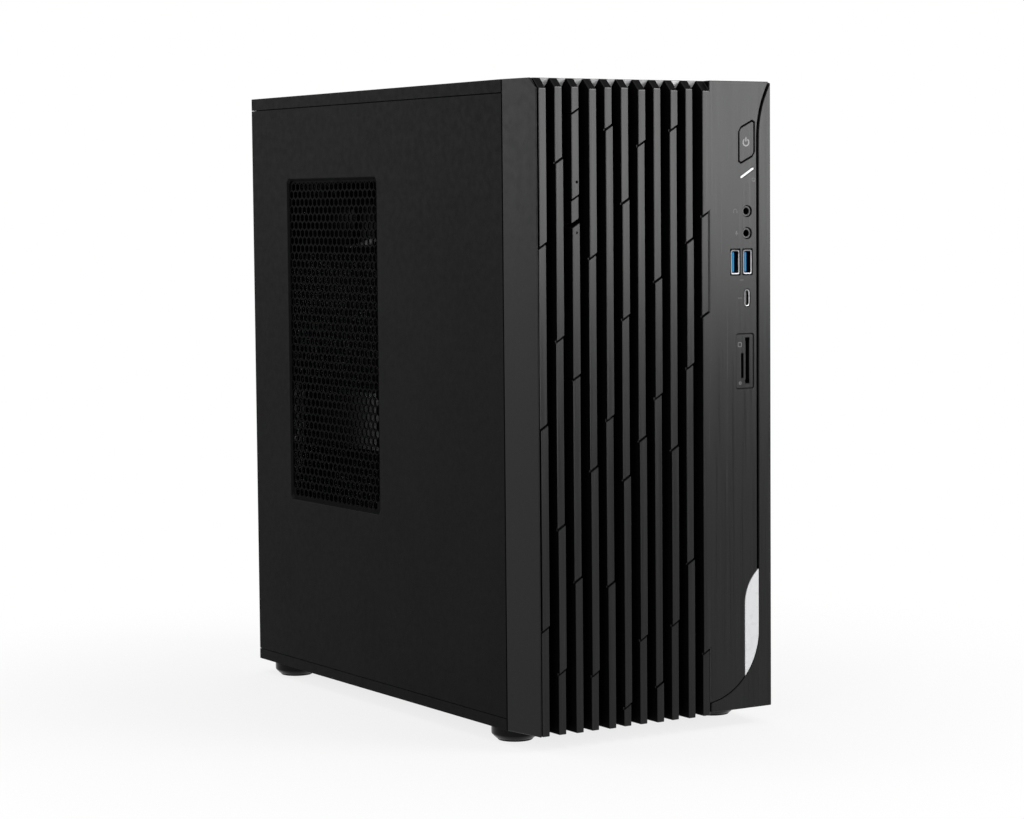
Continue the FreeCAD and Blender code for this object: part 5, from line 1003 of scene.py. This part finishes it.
def make_lid_screws():
    """Six screws and the spindle mark on the hard drive's lid."""
    low, high = corners("hard_drive")
    form = Form("up")
    profile = [(2.3, -0.1), (2.3, 0.35), (2.0, 0.5), (1.1, 0.5), (1.0, 0.1)]
    for a in (6.0, (high.x - low.x) / 2, high.x - low.x - 6.0):
        for b in (6.0, high.y - low.y - 6.0):
            form.aim("up", (low.x + a, low.y + b, high.z))
            form.turned(profile)
    centre = middle(low, high)
    form.aim("up", (centre.x, centre.y - 18.0, high.z))
    form.frame(circle(14.0, 64), circle(13.2, 64), -0.1, 0.15)
    form.finish("hard_drive_lid_screws", "case", "steel", smooth=30.0)


make_side_cover()
make_jacks()
make_usb_sockets()
print_marks()
make_round_pieces("round_feet", "feet", "foot", FOOT_PROFILE, 64)
make_round_pieces("feet_pads", "foot_pads", "rubber", PAD_PROFILE, 48)
make_screws()
for fan_name, fan_look in FANS.items():
    make_fan_wheel(fan_name, *fan_look)
make_audio_rings()
make_mains_marks()
make_board_components()
make_lid_screws()
for node_name in frame["nodes"]:
    if node_name not in stood_for:
        carry(node_name, *LOOKS[node_name])


# ---- camera, light, floor ----
# lengths here are in metres
CAMERA_PLACE = (-0.8286, -1.3271, 0.2815)
CAMERA_YAW, CAMERA_PITCH, CAMERA_ROLL = 32.2505, -4.2703, -0.5079    # degrees
CAMERA_LENS, CAMERA_SENSOR, CAMERA_FAR = 96.24, 36.0, 50.0           # the first two in millimetres
WORLD_LIGHT = 0.40
FLOOR_HALF = 6.0
FLOOR_TONE = (0.86, 0.86, 0.86, 1)
FADE_FROM, FADE_TO = 0.20, 0.46      # distance from the origin over which the floor turns white
FADE_LEAST = 0.80
# name: place, target, size, power in watts
LAMPS = {
    "key_front": ((0.95, -1.50, 0.465), (0.0, -0.15, 0.225), (0.9, 0.55), 15.5),
    "side_strip": ((-1.07, 1.13, 0.55), (-0.08, 0.0, 0.2), (0.9, 0.6), 7.6),
    "edge_left": ((-1.36, -0.98, 0.40), (-0.07, -0.15, 0.2), (0.18, 0.8), 4.0),
    "key_top": ((0.77, -0.88, 1.165), (0.0, -0.157, 0.346), (0.6, 0.2), 7.0),
    "top_soft": ((0.0, 0.3, 1.9), (0.0, 0.0, 0.2), (1.4, 1.4), 10.0),
}


def set_camera():
    yaw, pitch, roll = [math.radians(angle) for angle in (CAMERA_YAW, CAMERA_PITCH, CAMERA_ROLL)]
    forward = Vector((math.sin(yaw) * math.cos(pitch), math.cos(yaw) * math.cos(pitch), math.sin(pitch)))
    right = Vector((math.cos(yaw), -math.sin(yaw), 0.0))
    up = right.cross(forward)
    right, up = right * math.cos(roll) + up * math.sin(roll), up * math.cos(roll) - right * math.sin(roll)
    data = bpy.data.cameras.new("camera")
    data.sensor_width = CAMERA_SENSOR
    data.lens = CAMERA_LENS
    data.clip_end = CAMERA_FAR
    camera = bpy.data.objects.new("camera", data)
    place(camera)
    turn = Matrix((right, up, -forward)).transposed().to_4x4()
    camera.matrix_world = Matrix.Translation(CAMERA_PLACE) @ turn
    bpy.context.scene.camera = camera


def add_lamp(name, location, target, size, power):
    data = bpy.data.lights.new(name, "AREA")
    data.shape = "RECTANGLE"
    data.size, data.size_y = size
    data.energy = power
    light = bpy.data.objects.new(name, data)
    light.location = location
    light.rotation_euler = (Vector(target) - Vector(location)).to_track_quat("-Z", "Y").to_euler()
    place(light)


def combine(tree, operation, first, second):
    """Value that a Math node makes of two others."""
    node = add_node(tree, "ShaderNodeMath", operation=operation)
    tree.links.new(first, node.inputs[0])
    tree.links.new(second, node.inputs[1])
    return node.outputs[0]


def seen_by(tree, *kinds):
    """1 for the given kinds of rays, 0 for the others."""
    paths = tree.nodes.new("ShaderNodeLightPath")
    value, *others = [paths.outputs[f"Is {kind} Ray"] for kind in kinds]
    for other in others:
        value = combine(tree, "MAXIMUM", value, other)
    return value


def set_world():
    """White where it is seen, and weaker as a light."""
    world = bpy.data.worlds.new("studio")
    world.use_nodes = True
    tree = world.node_tree
    background = fill(tree.nodes["Background"], Color=(1, 1, 1, 1))
    strength = add_node(tree, "ShaderNodeMapRange", To_Min=WORLD_LIGHT, To_Max=1.0)
    tree.links.new(seen_by(tree, "Camera", "Glossy", "Transmission"), strength.inputs["Value"])
    tree.links.new(strength.outputs["Result"], background.inputs["Strength"])
    bpy.context.scene.world = world


def floor_material():
    material = bpy.data.materials.new("floor_white")
    material.use_nodes = True
    tree = material.node_tree
    bsdf = fill(tree.nodes["Principled BSDF"], Base_Color=FLOOR_TONE, Roughness=0.9, Specular_IOR_Level=0.1)
    glow = tree.nodes.new("ShaderNodeEmission")
    coord = tree.nodes.new("ShaderNodeTexCoord")
    length = add_node(tree, "ShaderNodeVectorMath", operation="LENGTH")
    fade = add_node(tree, "ShaderNodeMapRange", interpolation_type="SMOOTHSTEP", From_Min=FADE_FROM,
                    From_Max=FADE_TO, To_Min=FADE_LEAST)
    mix = tree.nodes.new("ShaderNodeMixShader")
    tree.links.new(coord.outputs["Object"], length.inputs[0])
    tree.links.new(length.outputs["Value"], fade.inputs["Value"])
    share = combine(tree, "MULTIPLY", fade.outputs["Result"], seen_by(tree, "Camera", "Glossy"))
    tree.links.new(share, mix.inputs[0])
    tree.links.new(bsdf.outputs[0], mix.inputs[1])
    tree.links.new(glow.outputs[0], mix.inputs[2])
    tree.links.new(mix.outputs[0], tree.nodes["Material Output"].inputs["Surface"])
    return material


def add_floor():
    """Pale floor that fades into the white background and keeps the tower's soft shadow."""
    shape = bmesh.new()
    bmesh.ops.create_grid(shape, x_segments=8, y_segments=8, size=FLOOR_HALF)
    mesh = bpy.data.meshes.new("floor")
    shape.to_mesh(mesh)
    shape.free()
    mesh.materials.append(floor_material())
    floor = bpy.data.objects.new("floor", mesh)
    place(floor)


set_camera()
set_world()
for lamp_name, lamp_look in LAMPS.items():
    add_lamp(lamp_name, *lamp_look)
add_floor()
bpy.context.scene.view_settings.view_transform = "Standard"
